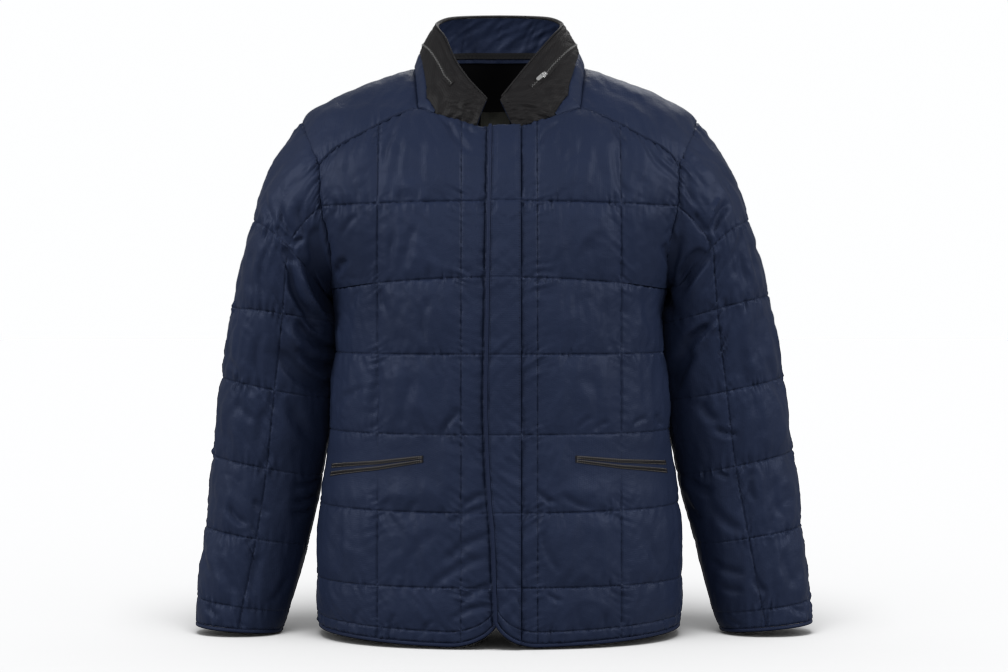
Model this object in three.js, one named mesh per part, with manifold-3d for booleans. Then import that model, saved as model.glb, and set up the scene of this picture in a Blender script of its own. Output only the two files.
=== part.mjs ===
// Quilted puffer jacket with a stand collar, filled out and hollow.
// Millimetres, +Z up. The front faces -Y and the wearer's left side is +X.
// The origin is between the shoulders at the base of the neck, where the wearer holds the jacket up.
import * as THREE from 'three';
import { mergeVertices } from 'three/addons/utils/BufferGeometryUtils.js';
import Module from 'manifold-3d';

const wasm = await Module();
wasm.setup();

// Walls, measured from the pattern surface that all pieces are cut on
const SEAM_GAP = 0.35;
const SHELL_OUT = 2;
const SHELL_IN = 1.2;
const PUFF_HEIGHT = 7;
const FULL_CELL = 75;
const FRONT_CELL_WIDTHS = [22, 88, 95];
const BACK_CELL_WIDTHS = [96, 92, 100];
const HEM_CELL_WIDTH = 12;
const BESIDE_SEAM = 0.55;
const RING_POWER = 2.3;

// Fronts
const FRONT_V1 = 44;
const FRONT_V2 = 141;
const NECK_CORNER_FRONT = 95;
const FLAP_SEAM = 24.5;
const FLAP_BINDING = 5;
const FLAP_LIFT = 2.4;
const FLAP_THICK = 2.6;
const FLAP_CROWN = 1;
const FLAP_LAP = 1.2;
const FLAP_SHARES = [0, 0.35, 0.7, 1];
const BINDING_WIDTH = 4.2;

// Back
const BACK_V1 = 48;
const BACK_V2 = 140;
const NECK_CORNER_BACK = 86;

// Collar layers, outward from the collar surface
const COLLAR_OUT = 1.3;
const COLLAR_IN = 0.9;
const FACING_FACE = 1.5;
const FACING_BACK = 3.2;
const COLLAR_BULGE = 3.5;

// Binding of the collar's top edge, and how much prouder a binding is than its wall
const COLLAR_BINDING = 2.4;
const BINDING_PROUD = { flap: 0.8, cuffOut: 0.4, cuffIn: 0.2, collarOut: 0.3, collarIn: 0.2 };

// Neck facing between the collar fronts: its columns by X, its heights and its depth in the jacket
const NECK_FACING = { columns: [-22, -10, 2, 12], low: -112, high: -52, step: 10, depth: 4, thick: 1.8 };

// Tape inside the back of the collar: heights as shares, reach round the neck and thickness
const NECK_TAPE = { low: 0.06, high: 0.2, reach: 0.5, gap: 0.9, thick: 0.8 };

// Rings of the trunk from the neck down. half is the half width, front and back are depths,
// power rounds the back of the ring and arm is the half width at the armhole seam.
const TRUNK_RINGS = [
  { z: 14, half: 103, front: 8, back: 73, power: 2.4 },
  { z: 0, half: 101, front: 12, back: 83, power: 2.3 },
  { z: -13, half: 136, front: 36, back: 88, power: 1.8 },
  { z: -30, half: 180, front: 54, back: 94, power: 1.55 },
  { z: -45, half: 209, front: 68, back: 99, power: 1.7 },
  { z: -54, half: 225, front: 77, back: 102, power: 1.8 },
  { z: -65, half: 235, front: 87, back: 105, power: 1.9, arm: 235 },
  { z: -95, half: 256, front: 106, back: 115, power: 2.1, arm: 217 },
  { z: -122, half: 266, front: 116, back: 122, power: 2.3, arm: 210 },
  { z: -161, half: 261, front: 126, back: 128, power: 2.3, arm: 209 },
  { z: -193, half: 240, front: 131, back: 131, power: 2.3, arm: 202 },
  { z: -218, half: 222, front: 134, back: 132, power: 2.3, arm: 198 },
  { z: -245, half: 205, front: 136, back: 133, power: 2.3, arm: 197.5 },
  { z: -262, half: 199, front: 137, back: 133, power: 2.3, arm: 199 },
  { z: -281, half: 194, front: 138, back: 133, power: 2.3 },
  { z: -300, half: 192, front: 139, back: 133, power: 2.3 },
  { z: -400, half: 199, front: 140, back: 131, power: 2.3 },
  { z: -460, half: 203, front: 142, back: 134, power: 2.3 },
  { z: -512, half: 211, front: 145, back: 138, power: 2.3 },
  { z: -560, half: 215, front: 148, back: 143, power: 2.3 },
  { z: -620, half: 216, front: 151, back: 148, power: 2.3 },
  { z: -690, half: 214, front: 153, back: 151, power: 2.3 },
];

// Top edge of the front: neckline from the centre to the corner, then the yoke seam
const FRONT_TOP = [
  { x: 0, z: -73 },
  { x: 26, z: -72 },
  { x: 47, z: -65 },
  { x: 81, z: -55.5 },
  { x: NECK_CORNER_FRONT, z: -51 },
  { x: 120, z: -60 },
  { x: 145, z: -72.5 },
  { x: 170, z: -86 },
  { x: 195, z: -101 },
  { x: 212, z: -119 },
];

// Top edge of the back: neckline, then the back yoke seam
const BACK_TOP = [
  { x: 0, z: 14 },
  { x: 40, z: 14 },
  { x: 70, z: 12 },
  { x: NECK_CORNER_BACK, z: 8 },
  { x: 115, z: -24 },
  { x: 140, z: -44 },
  { x: 170, z: -65 },
  { x: 195, z: -86 },
  { x: 212, z: -106 },
];

// Stitch lines across the trunk, below the top edge, at the centre and at the side
const TRUNK_LINES = [
  { centre: -160, side: -168, steps: 4 },
  { centre: -248, side: -262, steps: 4 },
  { centre: -337, side: -338, steps: 4 },
  { centre: -430, side: -430, steps: 4 },
  { centre: -520, side: -518, steps: 4 },
  { centre: -606, side: -606, steps: 4 },
  { centre: -657, side: -650, steps: 4 },
  { centre: -670, side: -662, steps: 2 },
];
const ARMPIT_ROW = 8;
const HEM_ROWS = 2;
const FIRST_GUESS_Z = -250;
const PASSES = 8;

// Rounded lower corners: where the corner starts, its width and its height
const CORNER = {
  right: { start: 0, width: 60, rise: 42 },
  left: { start: -5, width: 50, rise: 40 },
};

// Free edge of the storm flap, measured from the centre line towards the wearer's right
const FLAP_EDGE = [
  { z: -72, x: 13 },
  { z: -200, x: 15 },
  { z: -330, x: 17 },
  { z: -400, x: 18 },
  { z: -500, x: 14 },
  { z: -545, x: 10 },
  { z: -610, x: 7.5 },
  { z: -690, x: 5 },
];

// Sleeve stitch lines from the cap to the cuff end: outer and inner ends seen from the front,
// place and half depth along Y, and how far the front and back of the ring lift
const SLEEVE_RINGS = {
  right: [
    { outerX: 293, outerZ: -182, innerX: 209, innerZ: -269, y: 6, depth: 82, lift: 16, steps: 4 },
    { outerX: 318, outerZ: -286, innerX: 200, innerZ: -303, y: 16, depth: 75, lift: 4, steps: 4 },
    { outerX: 333, outerZ: -370, innerX: 207.5, innerZ: -394, y: 26, depth: 69, lift: 0, steps: 4 },
    { outerX: 344, outerZ: -464, innerX: 217, innerZ: -488, y: 27, depth: 64, lift: 0, steps: 4 },
    { outerX: 352, outerZ: -550, innerX: 234, innerZ: -570, y: 18, depth: 57, lift: 0, steps: 4 },
    { outerX: 362, outerZ: -634, innerX: 256, innerZ: -649, y: 4, depth: 48, lift: 0, steps: 4 },
    { outerX: 363, outerZ: -663, innerX: 263, innerZ: -670, y: -1, depth: 45, lift: 0, steps: 2 },
  ],
  left: [
    { outerX: 296, outerZ: -182, innerX: 209, innerZ: -269, y: 6, depth: 82, lift: 16, steps: 4 },
    { outerX: 320, outerZ: -272, innerX: 200, innerZ: -305, y: 16, depth: 75, lift: 4, steps: 4 },
    { outerX: 339, outerZ: -370, innerX: 207.5, innerZ: -396, y: 26, depth: 69, lift: 0, steps: 4 },
    { outerX: 352, outerZ: -459, innerX: 218, innerZ: -487, y: 27, depth: 64, lift: 0, steps: 4 },
    { outerX: 362, outerZ: -549, innerX: 239, innerZ: -569, y: 18, depth: 57, lift: 0, steps: 4 },
    { outerX: 372, outerZ: -637, innerX: 260, innerZ: -651, y: 4, depth: 48, lift: 0, steps: 4 },
    { outerX: 374, outerZ: -660, innerX: 267, innerZ: -669, y: -1, depth: 45, lift: 0, steps: 2 },
  ],
};
const SLEEVE_POWER = 2.15;
const CAP_SWELL = 7;
const CAP_OUTWARD = new THREE.Vector3(0.8, 0, 0.6);
const SLEEVE_SEAM_COLUMNS = [0, 8, 12, 16, 24];
const UNDERARM_COLUMN = 12;
const SLEEVE_PRESS = { by: 0.85, from: 0.55, to: 0.95 };

// Top edge of the collar, from the back centre (0) to the front tips (1)
const COLLAR_TOP = [
  { along: 0, right: 0, left: 0, y: 64, z: 68 },
  { along: 0.15, right: 38, left: 38, y: 60, z: 67 },
  { along: 0.26, right: 62, left: 62, y: 47, z: 64 },
  { along: 0.36, right: 75, left: 75, y: 27, z: 57 },
  { along: 0.46, right: 76, left: 75, y: 3, z: 50 },
  { along: 0.57, right: 66, left: 63, y: -22, z: 36 },
  { along: 0.72, right: 53, left: 39, y: -47, z: 7 },
  { along: 0.86, right: 37, left: 20, y: -66, z: -17 },
  { along: 1, right: 15, left: 1, y: -81, z: -41 },
];

// Height of the navy stand as a share of the collar's, which fades out near the front
const STAND_SHARE = [
  { along: 0, share: 0.4 },
  { along: 0.45, share: 0.38 },
  { along: 0.7, share: 0.12 },
  { along: 0.8, share: 0.04 },
];
const STAND_END = 0.8;
const STAND_SEAM = 0.004;

// Pocket mouths: the tip and the side end by panel column, and their heights
const POCKETS = {
  right: { tipColumn: 5.7, sideColumn: 10.6, tipZ: -458, sideZ: -477 },
  left: { tipColumn: 5.7, sideColumn: 10.5, tipZ: -458, sideZ: -473 },
};
const WELT_LIFT = 0.5;
const WELT_THICK = 1.5;
const WELT_WIDTH = { tip: 3.6, side: 6.2 };
const SLIT_WIDTH = { tip: 0.8, side: 2.4 };
const POCKET_FLAT = { near: 12, far: 42, beside: 0.25 };

// Collar zip: its ends and its slider by place round the neck, and its height on the collar
const ZIP = { rightEnd: -0.8, leftEnd: 0.84, slider: 0.75, height: 0.73, tapeHalf: 0.06, tapeThick: 0.9 };
const SLIDER = { back: 4.8, front: 3.2, halfBack: 2.3, halfFront: 3, thick: 2.2 };
const BRIDGE = { half: 2.3, top: 5.5, holeHalf: 1.25, holeLow: 2.5, holeTop: 4.6, width: 1.6, root: 1.8 };
const PULL = { length: 12, half: 2.3, bar: 0.5, windowEnd: 3.5, windowHalf: 1.2, thick: 1, droop: 8 };

const COLOURS = {
  navy: { color: 0x1e2a48, roughness: 0.55, metalness: 0 },
  charcoal: { color: 0x2d2a2a, roughness: 0.7, metalness: 0 },
  olive: { color: 0x24241f, roughness: 0.75, metalness: 0 },
  black: { color: 0x101014, roughness: 0.7, metalness: 0 },
  zip: { color: 0x808084, roughness: 0.45, metalness: 0.8 },
};

// Smooth curve through a table's rows, from one named column to another
function tableCurve(rows, from, to) {
  const used = rows.filter((row) => row[to] !== undefined).sort((a, b) => a[from] - b[from]);
  const slope = used.map((row, k) => {
    const before = used[Math.max(k - 1, 0)];
    const after = used[Math.min(k + 1, used.length - 1)];
    return (after[to] - before[to]) / (after[from] - before[from]);
  });
  return (at) => {
    let k = 0;
    while (k < used.length - 2 && at > used[k + 1][from]) {
      k += 1;
    }
    const width = used[k + 1][from] - used[k][from];
    const t = THREE.MathUtils.clamp((at - used[k][from]) / width, 0, 1);
    const a = used[k][to];
    const b = used[k + 1][to];
    const rise = t * t * (3 - 2 * t);
    const ease = t * (1 - t) * width;
    return a + (b - a) * rise + ease * ((1 - t) * slope[k] - t * slope[k + 1]);
  };
}

const ringHalf = tableCurve(TRUNK_RINGS, 'z', 'half');
const ringFront = tableCurve(TRUNK_RINGS, 'z', 'front');
const ringBack = tableCurve(TRUNK_RINGS, 'z', 'back');
const ringPower = tableCurve(TRUNK_RINGS, 'z', 'power');
const armholeX = tableCurve(TRUNK_RINGS, 'z', 'arm');
const frontTop = tableCurve(FRONT_TOP, 'x', 'z');
const backTop = tableCurve(BACK_TOP, 'x', 'z');
const flapEdge = tableCurve(FLAP_EDGE, 'z', 'x');
const standShare = tableCurve(STAND_SHARE, 'along', 'share');

function lerp(a, b, t) {
  return a + (b - a) * t;
}

// Point of the trunk surface, with facing -1 at the front and 1 at the back
function trunkPoint(x, z, facing) {
  const power = facing < 0 ? RING_POWER : ringPower(z);
  const depth = facing < 0 ? ringFront(z) : ringBack(z);
  const ratio = Math.min(Math.abs(x) / ringHalf(z), 1);
  return new THREE.Vector3(x, facing * depth * (1 - ratio ** power) ** (1 / power), z);
}

function ringAngle(x, z, power) {
  return Math.asin(Math.min(x / ringHalf(z), 1) ** (power / 2));
}

function cornerRise(corner, x) {
  const into = x - corner.start;
  if (into >= corner.width) {
    return 0;
  }
  const share = Math.min((corner.width - into) / corner.width, 1);
  return corner.rise * (1 - Math.sqrt(1 - share * share));
}

// Rows of the trunk as cells between stitch lines
const TRUNK_ROWS = TRUNK_LINES.flatMap((line, k) => {
  const list = [];
  for (let step = 0; step < line.steps; step += 1) {
    list.push({ cell: k, share: step / line.steps });
  }
  return list;
});
TRUNK_ROWS.push({ cell: TRUNK_LINES.length - 1, share: 1 });

function lineZ(k, x, z, topEdge, corner) {
  if (k < 0) {
    return topEdge(x);
  }
  const line = TRUNK_LINES[k];
  const level = lerp(line.centre, line.side, (x / ringHalf(z)) ** 2);
  const hem = k >= TRUNK_LINES.length - HEM_ROWS;
  return level + (hem && corner ? cornerRise(corner, x) : 0);
}

// Finds each point of a panel from its row and from its column's place at that height
function trunkGrid(columns, facing, side, topEdge, corner) {
  return TRUNK_ROWS.map((row, i) => columns.map((column) => {
    let z = FIRST_GUESS_Z;
    let x = 0;
    for (let pass = 0; pass < PASSES; pass += 1) {
      const edge = i < ARMPIT_ROW ? armholeX(z) : ringHalf(z);
      x = column.place(z, edge);
      const above = lineZ(row.cell - 1, x, z, topEdge, corner);
      const below = lineZ(row.cell, x, z, topEdge, corner);
      z = lerp(above, below, row.share);
    }
    return trunkPoint(side * x, z, facing);
  }));
}

// Columns of a panel half: straight cells by x, then the outer cell by the ring's angle
function cellColumns(from, to, shares, cell) {
  return shares.map((share) => ({
    cell,
    share,
    place: (z) => lerp(from(z), to(z), share),
  }));
}

function outerColumns(from, facing, cell) {
  return [0, 0.25, 0.5, 0.75, 1].map((share) => ({
    cell,
    share,
    place: (z, edge) => {
      const power = facing < 0 ? RING_POWER : ringPower(z);
      const angle = lerp(ringAngle(from, z, power), ringAngle(edge, z, power), share);
      return share === 1 ? edge : ringHalf(z) * Math.sin(angle) ** (2 / power);
    },
  }));
}

function constant(value) {
  return () => value;
}

function cornerShare(from, to, corner) {
  return (corner - from) / (to - from);
}

function frontColumns(name) {
  const flapLine = name === 'right' ? (z) => flapEdge(z) + FLAP_LAP : constant(FLAP_SEAM);
  const corner = cornerShare(FRONT_V1, FRONT_V2, NECK_CORNER_FRONT);
  const hidden = cellColumns(constant(0), flapLine, [0, 0.65], 'plain');
  const narrow = cellColumns(flapLine, constant(FRONT_V1), [0, 0.42], 0);
  const middle = cellColumns(constant(FRONT_V1), constant(FRONT_V2), [0, corner / 2, corner, 0.77], 1);
  return [...hidden, ...narrow, ...middle, ...outerColumns(FRONT_V2, -1, 2)];
}

function backHalfColumns() {
  const corner = cornerShare(BACK_V1, BACK_V2, NECK_CORNER_BACK);
  const centre = cellColumns(constant(-BACK_V1), constant(BACK_V1), [0.5, 0.75], 0);
  const middle = cellColumns(constant(BACK_V1), constant(BACK_V2), [0, corner / 2, corner, 0.7], 1);
  return [...centre, ...middle, ...outerColumns(BACK_V2, 1, 2)];
}

// Normals of a grid by its neighbours, all turned to one side by a hint at the middle
function gridNormals(grid, around, hint) {
  const rows = grid.length;
  const columns = grid[0].length;
  const normals = grid.map((row, i) => row.map((point, j) => {
    const up = grid[Math.max(i - 1, 0)][j];
    const down = grid[Math.min(i + 1, rows - 1)][j];
    const before = around ? row[(j + columns - 1) % columns] : row[Math.max(j - 1, 0)];
    const after = around ? row[(j + 1) % columns] : row[Math.min(j + 1, columns - 1)];
    const along = after.clone().sub(before);
    return along.cross(down.clone().sub(up)).normalize();
  }));
  const i = Math.floor(rows / 2);
  const j = Math.floor(columns / 2);
  if (normals[i][j].dot(hint(grid[i][j])) < 0) {
    normals.forEach((row) => row.forEach((normal) => normal.negate()));
  }
  return normals;
}

function offsetGrid(grid, normals, amount) {
  return grid.map((row, i) => row.map((point, j) => {
    const distance = typeof amount === 'function' ? amount(i, j) : amount;
    return point.clone().addScaledVector(normals[i][j], distance);
  }));
}

// Keeps every rowStep-th row and every columnStep-th point of a grid
function thin(grid, rowStep, columnStep) {
  const rows = grid.filter((row, i) => i % rowStep === 0);
  return rows.map((row) => row.filter((point, j) => j % columnStep === 0));
}

// Faces of a grid, each quad cut along its shorter diagonal
function skinFaces(grid, at, rows, columns, flip) {
  const faces = [];
  const span = grid[0].length;
  for (let i = 0; i < rows; i += 1) {
    for (let j = 0; j < columns; j += 1) {
      const next = (j + 1) % span;
      const a = at(i, j);
      const b = at(i, j + 1);
      const c = at(i + 1, j + 1);
      const d = at(i + 1, j);
      const down = grid[i][j].distanceTo(grid[i + 1][next]);
      const up = grid[i][next].distanceTo(grid[i + 1][j]);
      const quad = down <= up ? [a, b, c, a, c, d] : [a, b, d, b, c, d];
      faces.push(...(flip ? quad.reverse() : quad));
    }
  }
  return faces;
}

// Faces between a fine edge and a coarse edge that has every step-th of its points
function rimFaces(fine, coarse) {
  const faces = [];
  const step = (fine.length - 1) / (coarse.length - 1);
  const half = Math.ceil(step / 2);
  for (let k = 0; k < coarse.length - 1; k += 1) {
    for (let s = 0; s < step; s += 1) {
      const anchor = s < half ? coarse[k] : coarse[k + 1];
      faces.push(fine[k * step + s + 1], fine[k * step + s], anchor);
    }
    faces.push(fine[k * step + half], coarse[k], coarse[k + 1]);
  }
  return faces;
}

// The edges of a grid in order: top, last column, bottom and first column
function gridEdges(at, rows, columns, around) {
  const line = (count, index) => Array.from({ length: count + 1 }, (unused, k) => index(k));
  const top = line(columns, (j) => at(0, j));
  const bottom = line(columns, (j) => at(rows, columns - j));
  if (around) {
    return [top, bottom];
  }
  const last = line(rows, (i) => at(i, columns));
  const first = line(rows, (i) => at(rows - i, 0));
  return [top, last, bottom, first];
}

// Closed wall between an outer grid and an inner grid, which keeps fewer rows and columns
function wallGeometry(outer, innerFull, { rowStep = 1, columnStep = 1, around = false } = {}) {
  const inner = thin(innerFull, rowStep, columnStep);
  const innerBase = outer.length * outer[0].length;
  const outerAt = (i, j) => i * outer[0].length + (j % outer[0].length);
  const innerAt = (i, j) => innerBase + i * inner[0].length + (j % inner[0].length);
  const outerSpan = outer[0].length - (around ? 0 : 1);
  const innerSpan = inner[0].length - (around ? 0 : 1);
  const faces = [
    ...skinFaces(outer, outerAt, outer.length - 1, outerSpan, false),
    ...skinFaces(inner, innerAt, inner.length - 1, innerSpan, true),
  ];
  const innerEdges = gridEdges(innerAt, inner.length - 1, innerSpan, around);
  gridEdges(outerAt, outer.length - 1, outerSpan, around).forEach((edge, k) => {
    faces.push(...rimFaces(edge, innerEdges[k]));
  });
  return closedGeometry([...outer.flat(), ...inner.flat()], faces);
}

// Buffer geometry with its faces turned outwards
function closedGeometry(points, faces) {
  let volume = 0;
  for (let k = 0; k < faces.length; k += 3) {
    const [a, b, c] = [points[faces[k]], points[faces[k + 1]], points[faces[k + 2]]];
    volume += a.dot(b.clone().cross(c));
  }
  const geometry = new THREE.BufferGeometry();
  geometry.setFromPoints(points);
  geometry.setIndex(volume < 0 ? faces.slice().reverse() : faces);
  geometry.computeVertexNormals();
  return geometry;
}

function addMesh(group, name, geometry, finish) {
  const mesh = new THREE.Mesh(geometry, new THREE.MeshStandardMaterial(COLOURS[finish]));
  mesh.name = name;
  group.add(mesh);
  return mesh;
}

// Moves an edge point into its piece, square to the seam, by part of the seam gap
function insetPoint(edge, inside, before, after, amount) {
  const seam = after.clone().sub(before).normalize();
  const inward = inside.clone().sub(edge);
  inward.addScaledVector(seam, -inward.dot(seam)).normalize();
  return edge.clone().addScaledVector(inward, amount);
}

function insetColumn(grid, j, inner, amount) {
  const last = grid.length - 1;
  const moved = grid.map((row, i) => {
    const before = grid[Math.max(i - 1, 0)][j];
    const after = grid[Math.min(i + 1, last)][j];
    return insetPoint(row[j], row[inner], before, after, amount);
  });
  moved.forEach((point, i) => {
    grid[i][j] = point;
  });
}

function insetRow(grid, i, inner, amount) {
  const last = grid[i].length - 1;
  grid[i] = grid[i].map((point, j) => {
    const before = grid[i][Math.max(j - 1, 0)];
    const after = grid[i][Math.min(j + 1, last)];
    return insetPoint(point, grid[inner][j], before, after, amount);
  });
}

// Directions of the wall where pieces turn at the armhole and at the neckline
const ARMHOLE_MIDDLE_Z = -163;
const ARMHOLE_HALF_HEIGHT = 98;
const ARMHOLE_HALF_DEPTH = 85;
const NECK_MIDDLE_Y = -9;
const NECK_HALF_WIDTH = 101;
const NECK_HALF_DEPTH = 81;

function armholeNormal(point) {
  const rise = (point.z - ARMHOLE_MIDDLE_Z) / ARMHOLE_HALF_HEIGHT;
  const y = point.y / ARMHOLE_HALF_DEPTH ** 2;
  const radial = new THREE.Vector3(0, y, rise / ARMHOLE_HALF_HEIGHT).normalize();
  radial.x = Math.sign(point.x) * 0.35 * (1 + rise);
  return radial.normalize();
}

function neckOutward(point) {
  const y = (point.y - NECK_MIDDLE_Y) / NECK_HALF_DEPTH ** 2;
  return new THREE.Vector3(point.x / NECK_HALF_WIDTH ** 2, y, 0).normalize();
}

function neckNormal(point) {
  return neckOutward(point).multiplyScalar(0.8).add(new THREE.Vector3(0, 0, 0.6));
}

function cushion(share) {
  return Math.sin(Math.PI * share) ** 0.75;
}

// Height of the filling over the wall: full in a cell's middle, nothing on its stitch lines
function puffAt(rowShare, columnShare, cell, width) {
  const swell = 0.94 + 0.08 * Math.sin(5 * cell + width);
  return PUFF_HEIGHT * swell * Math.min(1, width / FULL_CELL) * cushion(rowShare) * cushion(columnShare);
}

function cellWidth(row, column, widths) {
  return row.cell === TRUNK_LINES.length - 1 ? HEM_CELL_WIDTH : widths[column.cell];
}

const trunkHint = (point) => new THREE.Vector3(point.x, point.y, 0);

function frontPuff(grid, columns, pocket, i, j) {
  const column = columns[j];
  const row = TRUNK_ROWS[i];
  if (column.cell === 'plain' || row.share % 1 === 0) {
    return 0;
  }
  const width = cellWidth(row, column, FRONT_CELL_WIDTHS);
  const point = grid[i][j];
  const span = (j - pocket.tipColumn) / (pocket.sideColumn - pocket.tipColumn);
  const mouthZ = lerp(pocket.tipZ, pocket.sideZ, THREE.MathUtils.clamp(span, 0, 1));
  const near = THREE.MathUtils.smoothstep(Math.abs(point.z - mouthZ), POCKET_FLAT.near, POCKET_FLAT.far);
  const beside = THREE.MathUtils.smoothstep(Math.abs(span - 0.5), 0.5, 0.5 + POCKET_FLAT.beside);
  const pressed = j === columns.length - 2 ? BESIDE_SEAM : 1;
  return pressed * Math.max(near, beside) * puffAt(row.share, column.share, row.cell, width);
}

function frontPanel(name) {
  const side = name === 'right' ? -1 : 1;
  const columns = frontColumns(name);
  const grid = trunkGrid(columns, -1, side, frontTop, CORNER[name]);
  const seamLine = grid.map((row) => row.map((point) => point.clone()));
  insetColumn(grid, 0, 1, SEAM_GAP / 2);
  const normals = gridNormals(grid, false, trunkHint);
  const last = columns.length - 1;
  const corner = columns.findIndex((column) => column.cell === 1) + 2;
  normals[0].forEach((normal, j) => {
    if (j <= corner) {
      normal.copy(neckNormal(grid[0][j]));
    }
  });
  sideNormals(normals, grid, last);
  seamInset(grid, last, last - 1);
  const outer = offsetGrid(grid, normals, (i, j) => {
    return SHELL_OUT + frontPuff(grid, columns, POCKETS[name], i, j);
  });
  return { name, side, columns, grid, seamLine, normals, outer, corner, last };
}

// At the armhole the wall turns with the seam, and below it the side seam faces straight out
function sideNormals(normals, grid, j) {
  grid.forEach((row, i) => {
    if (i <= ARMPIT_ROW) {
      normals[i][j].copy(armholeNormal(row[j]));
    } else {
      normals[i][j].set(Math.sign(row[j].x), 0, 0);
    }
  });
}

function seamInset(grid, j, inner) {
  for (let i = ARMPIT_ROW; i < grid.length; i += 1) {
    grid[i][j].y += Math.sign(grid[i][inner].y) * SEAM_GAP / 2;
  }
}

function backPanel() {
  const half = backHalfColumns();
  const leftHalf = trunkGrid(half, 1, 1, backTop, null);
  const rightHalf = trunkGrid(half, 1, -1, backTop, null);
  const grid = leftHalf.map((row, i) => [...rightHalf[i].slice(1).reverse(), ...row]);
  const seamLine = grid.map((row) => row.map((point) => point.clone()));
  const columns = [...half.slice(1).reverse(), ...half];
  const normals = gridNormals(grid, false, trunkHint);
  const last = columns.length - 1;
  const centre = last / 2;
  const reach = half.findIndex((column) => column.cell === 1) + 2;
  for (let j = centre - reach; j <= centre + reach; j += 1) {
    normals[0][j].copy(neckNormal(grid[0][j]));
  }
  sideNormals(normals, grid, 0);
  sideNormals(normals, grid, last);
  seamInset(grid, 0, 1);
  seamInset(grid, last, last - 1);
  const outer = offsetGrid(grid, normals, (i, j) => {
    const row = TRUNK_ROWS[i];
    const width = cellWidth(row, columns[j], BACK_CELL_WIDTHS);
    const puff = row.share % 1 === 0 ? 0 : puffAt(row.share, columns[j].share, row.cell, width);
    return SHELL_OUT + puff * (j === 1 || j === last - 1 ? BESIDE_SEAM : 1);
  });
  return { columns, grid, seamLine, normals, outer, last, centre, reach };
}

const YOKE_HALF_ROWS = 4;
const SHOULDER_POINT = 235;
const SHOULDER_END_Z = -65;
const RIDGE_PASSES = 40;

// Height of the shoulder ridge at a distance from the centre
function ridgeZ(x) {
  let low = SHOULDER_END_Z;
  let high = 0;
  for (let pass = 0; pass < RIDGE_PASSES; pass += 1) {
    const middle = (low + high) / 2;
    if (ringHalf(middle) > x) {
      low = middle;
    } else {
      high = middle;
    }
  }
  return (low + high) / 2;
}

// Yoke from the front seam, over the ridge, to the back seam. Columns run from neck to armhole.
function yokePanel(front, back) {
  const side = front.side;
  const frontSeam = front.seamLine[0].slice(front.corner);
  const backRow = back.seamLine[0];
  const backSeam = side > 0
    ? backRow.slice(back.centre + back.reach)
    : backRow.slice(0, back.centre - back.reach + 1).reverse();
  const count = frontSeam.length - 1;
  const ridge = frontSeam.map((point, k) => {
    const x = lerp(ringHalf(0), SHOULDER_POINT, k / count);
    return new THREE.Vector3(side * x, 0, k === count ? SHOULDER_END_Z : ridgeZ(x));
  });
  const grid = [];
  for (let i = 0; i <= 2 * YOKE_HALF_ROWS; i += 1) {
    const ahead = i <= YOKE_HALF_ROWS;
    const seam = ahead ? frontSeam : backSeam;
    const fromRidge = Math.abs(i - YOKE_HALF_ROWS) / YOKE_HALF_ROWS;
    const drop = 1 - Math.cos(fromRidge * Math.PI / 2);
    grid.push(seam.map((point, k) => {
      if (fromRidge === 1) {
        return point.clone();
      }
      const top = ridge[k];
      if (fromRidge === 0) {
        return top.clone();
      }
      const z = lerp(top.z, point.z, drop);
      const x = k === count ? armholeX(z) : Math.abs(lerp(top.x, point.x, drop));
      return trunkPoint(side * x, z, ahead ? -1 : 1);
    }));
  }
  const seamLine = grid.map((row) => row.map((point) => point.clone()));
  const normals = gridNormals(grid, false, () => new THREE.Vector3(0, 0, 1));
  grid.forEach((row, i) => {
    normals[i][0].copy(neckNormal(row[0]));
    normals[i][count].copy(armholeNormal(row[count]));
  });
  for (let k = 1; k < count; k += 1) {
    normals[0][k].copy(front.normals[0][front.corner + k]);
    const j = side > 0 ? back.centre + back.reach + k : back.centre - back.reach - k;
    normals[2 * YOKE_HALF_ROWS][k].copy(back.normals[0][j]);
  }
  insetRow(grid, 0, 1, SEAM_GAP);
  insetRow(grid, 2 * YOKE_HALF_ROWS, 2 * YOKE_HALF_ROWS - 1, SEAM_GAP);
  return { grid, seamLine, normals, count };
}

// Armhole seam as a loop: over the top, down the front to the armpit and up the back
function armholeLoop(front, back, yoke) {
  const yokeColumn = yoke.seamLine.map((row) => row[yoke.count]);
  const frontColumn = front.seamLine.slice(1, ARMPIT_ROW + 1).map((row) => row[front.last]);
  const backEdge = front.side > 0 ? back.last : 0;
  const backColumn = back.seamLine.slice(1, ARMPIT_ROW).map((row) => row[backEdge]).reverse();
  const overFront = yokeColumn.slice(0, YOKE_HALF_ROWS + 1).reverse();
  const overBack = yokeColumn.slice(YOKE_HALF_ROWS + 1).reverse();
  return [...overFront, ...frontColumn, ...backColumn, ...overBack];
}

// Angle round the sleeve for each point of the armhole loop, by length along each half
function loopAngles(loop) {
  const lengths = loop.map((point, j) => point.distanceTo(loop[(j + 1) % loop.length]));
  const half = loop.length / 2;
  const total = (from, to) => lengths.slice(from, to).reduce((sum, length) => sum + length, 0);
  return loop.map((point, j) => {
    if (j <= half) {
      return Math.PI * total(0, j) / total(0, half);
    }
    return Math.PI * (1 + total(half, j) / total(half, loop.length));
  });
}

function sleeveRingPoint(ring, side, angle) {
  const cos = Math.cos(angle);
  const sin = Math.sin(angle);
  const across = Math.sign(cos) * Math.abs(cos) ** (2 / SLEEVE_POWER);
  const deep = Math.sign(sin) * Math.abs(sin) ** (2 / SLEEVE_POWER);
  const share = (1 - across) / 2;
  return new THREE.Vector3(
    side * lerp(ring.outerX, ring.innerX, share),
    ring.y - ring.depth * deep,
    lerp(ring.outerZ, ring.innerZ, share) + ring.lift * sin * sin,
  );
}

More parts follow.
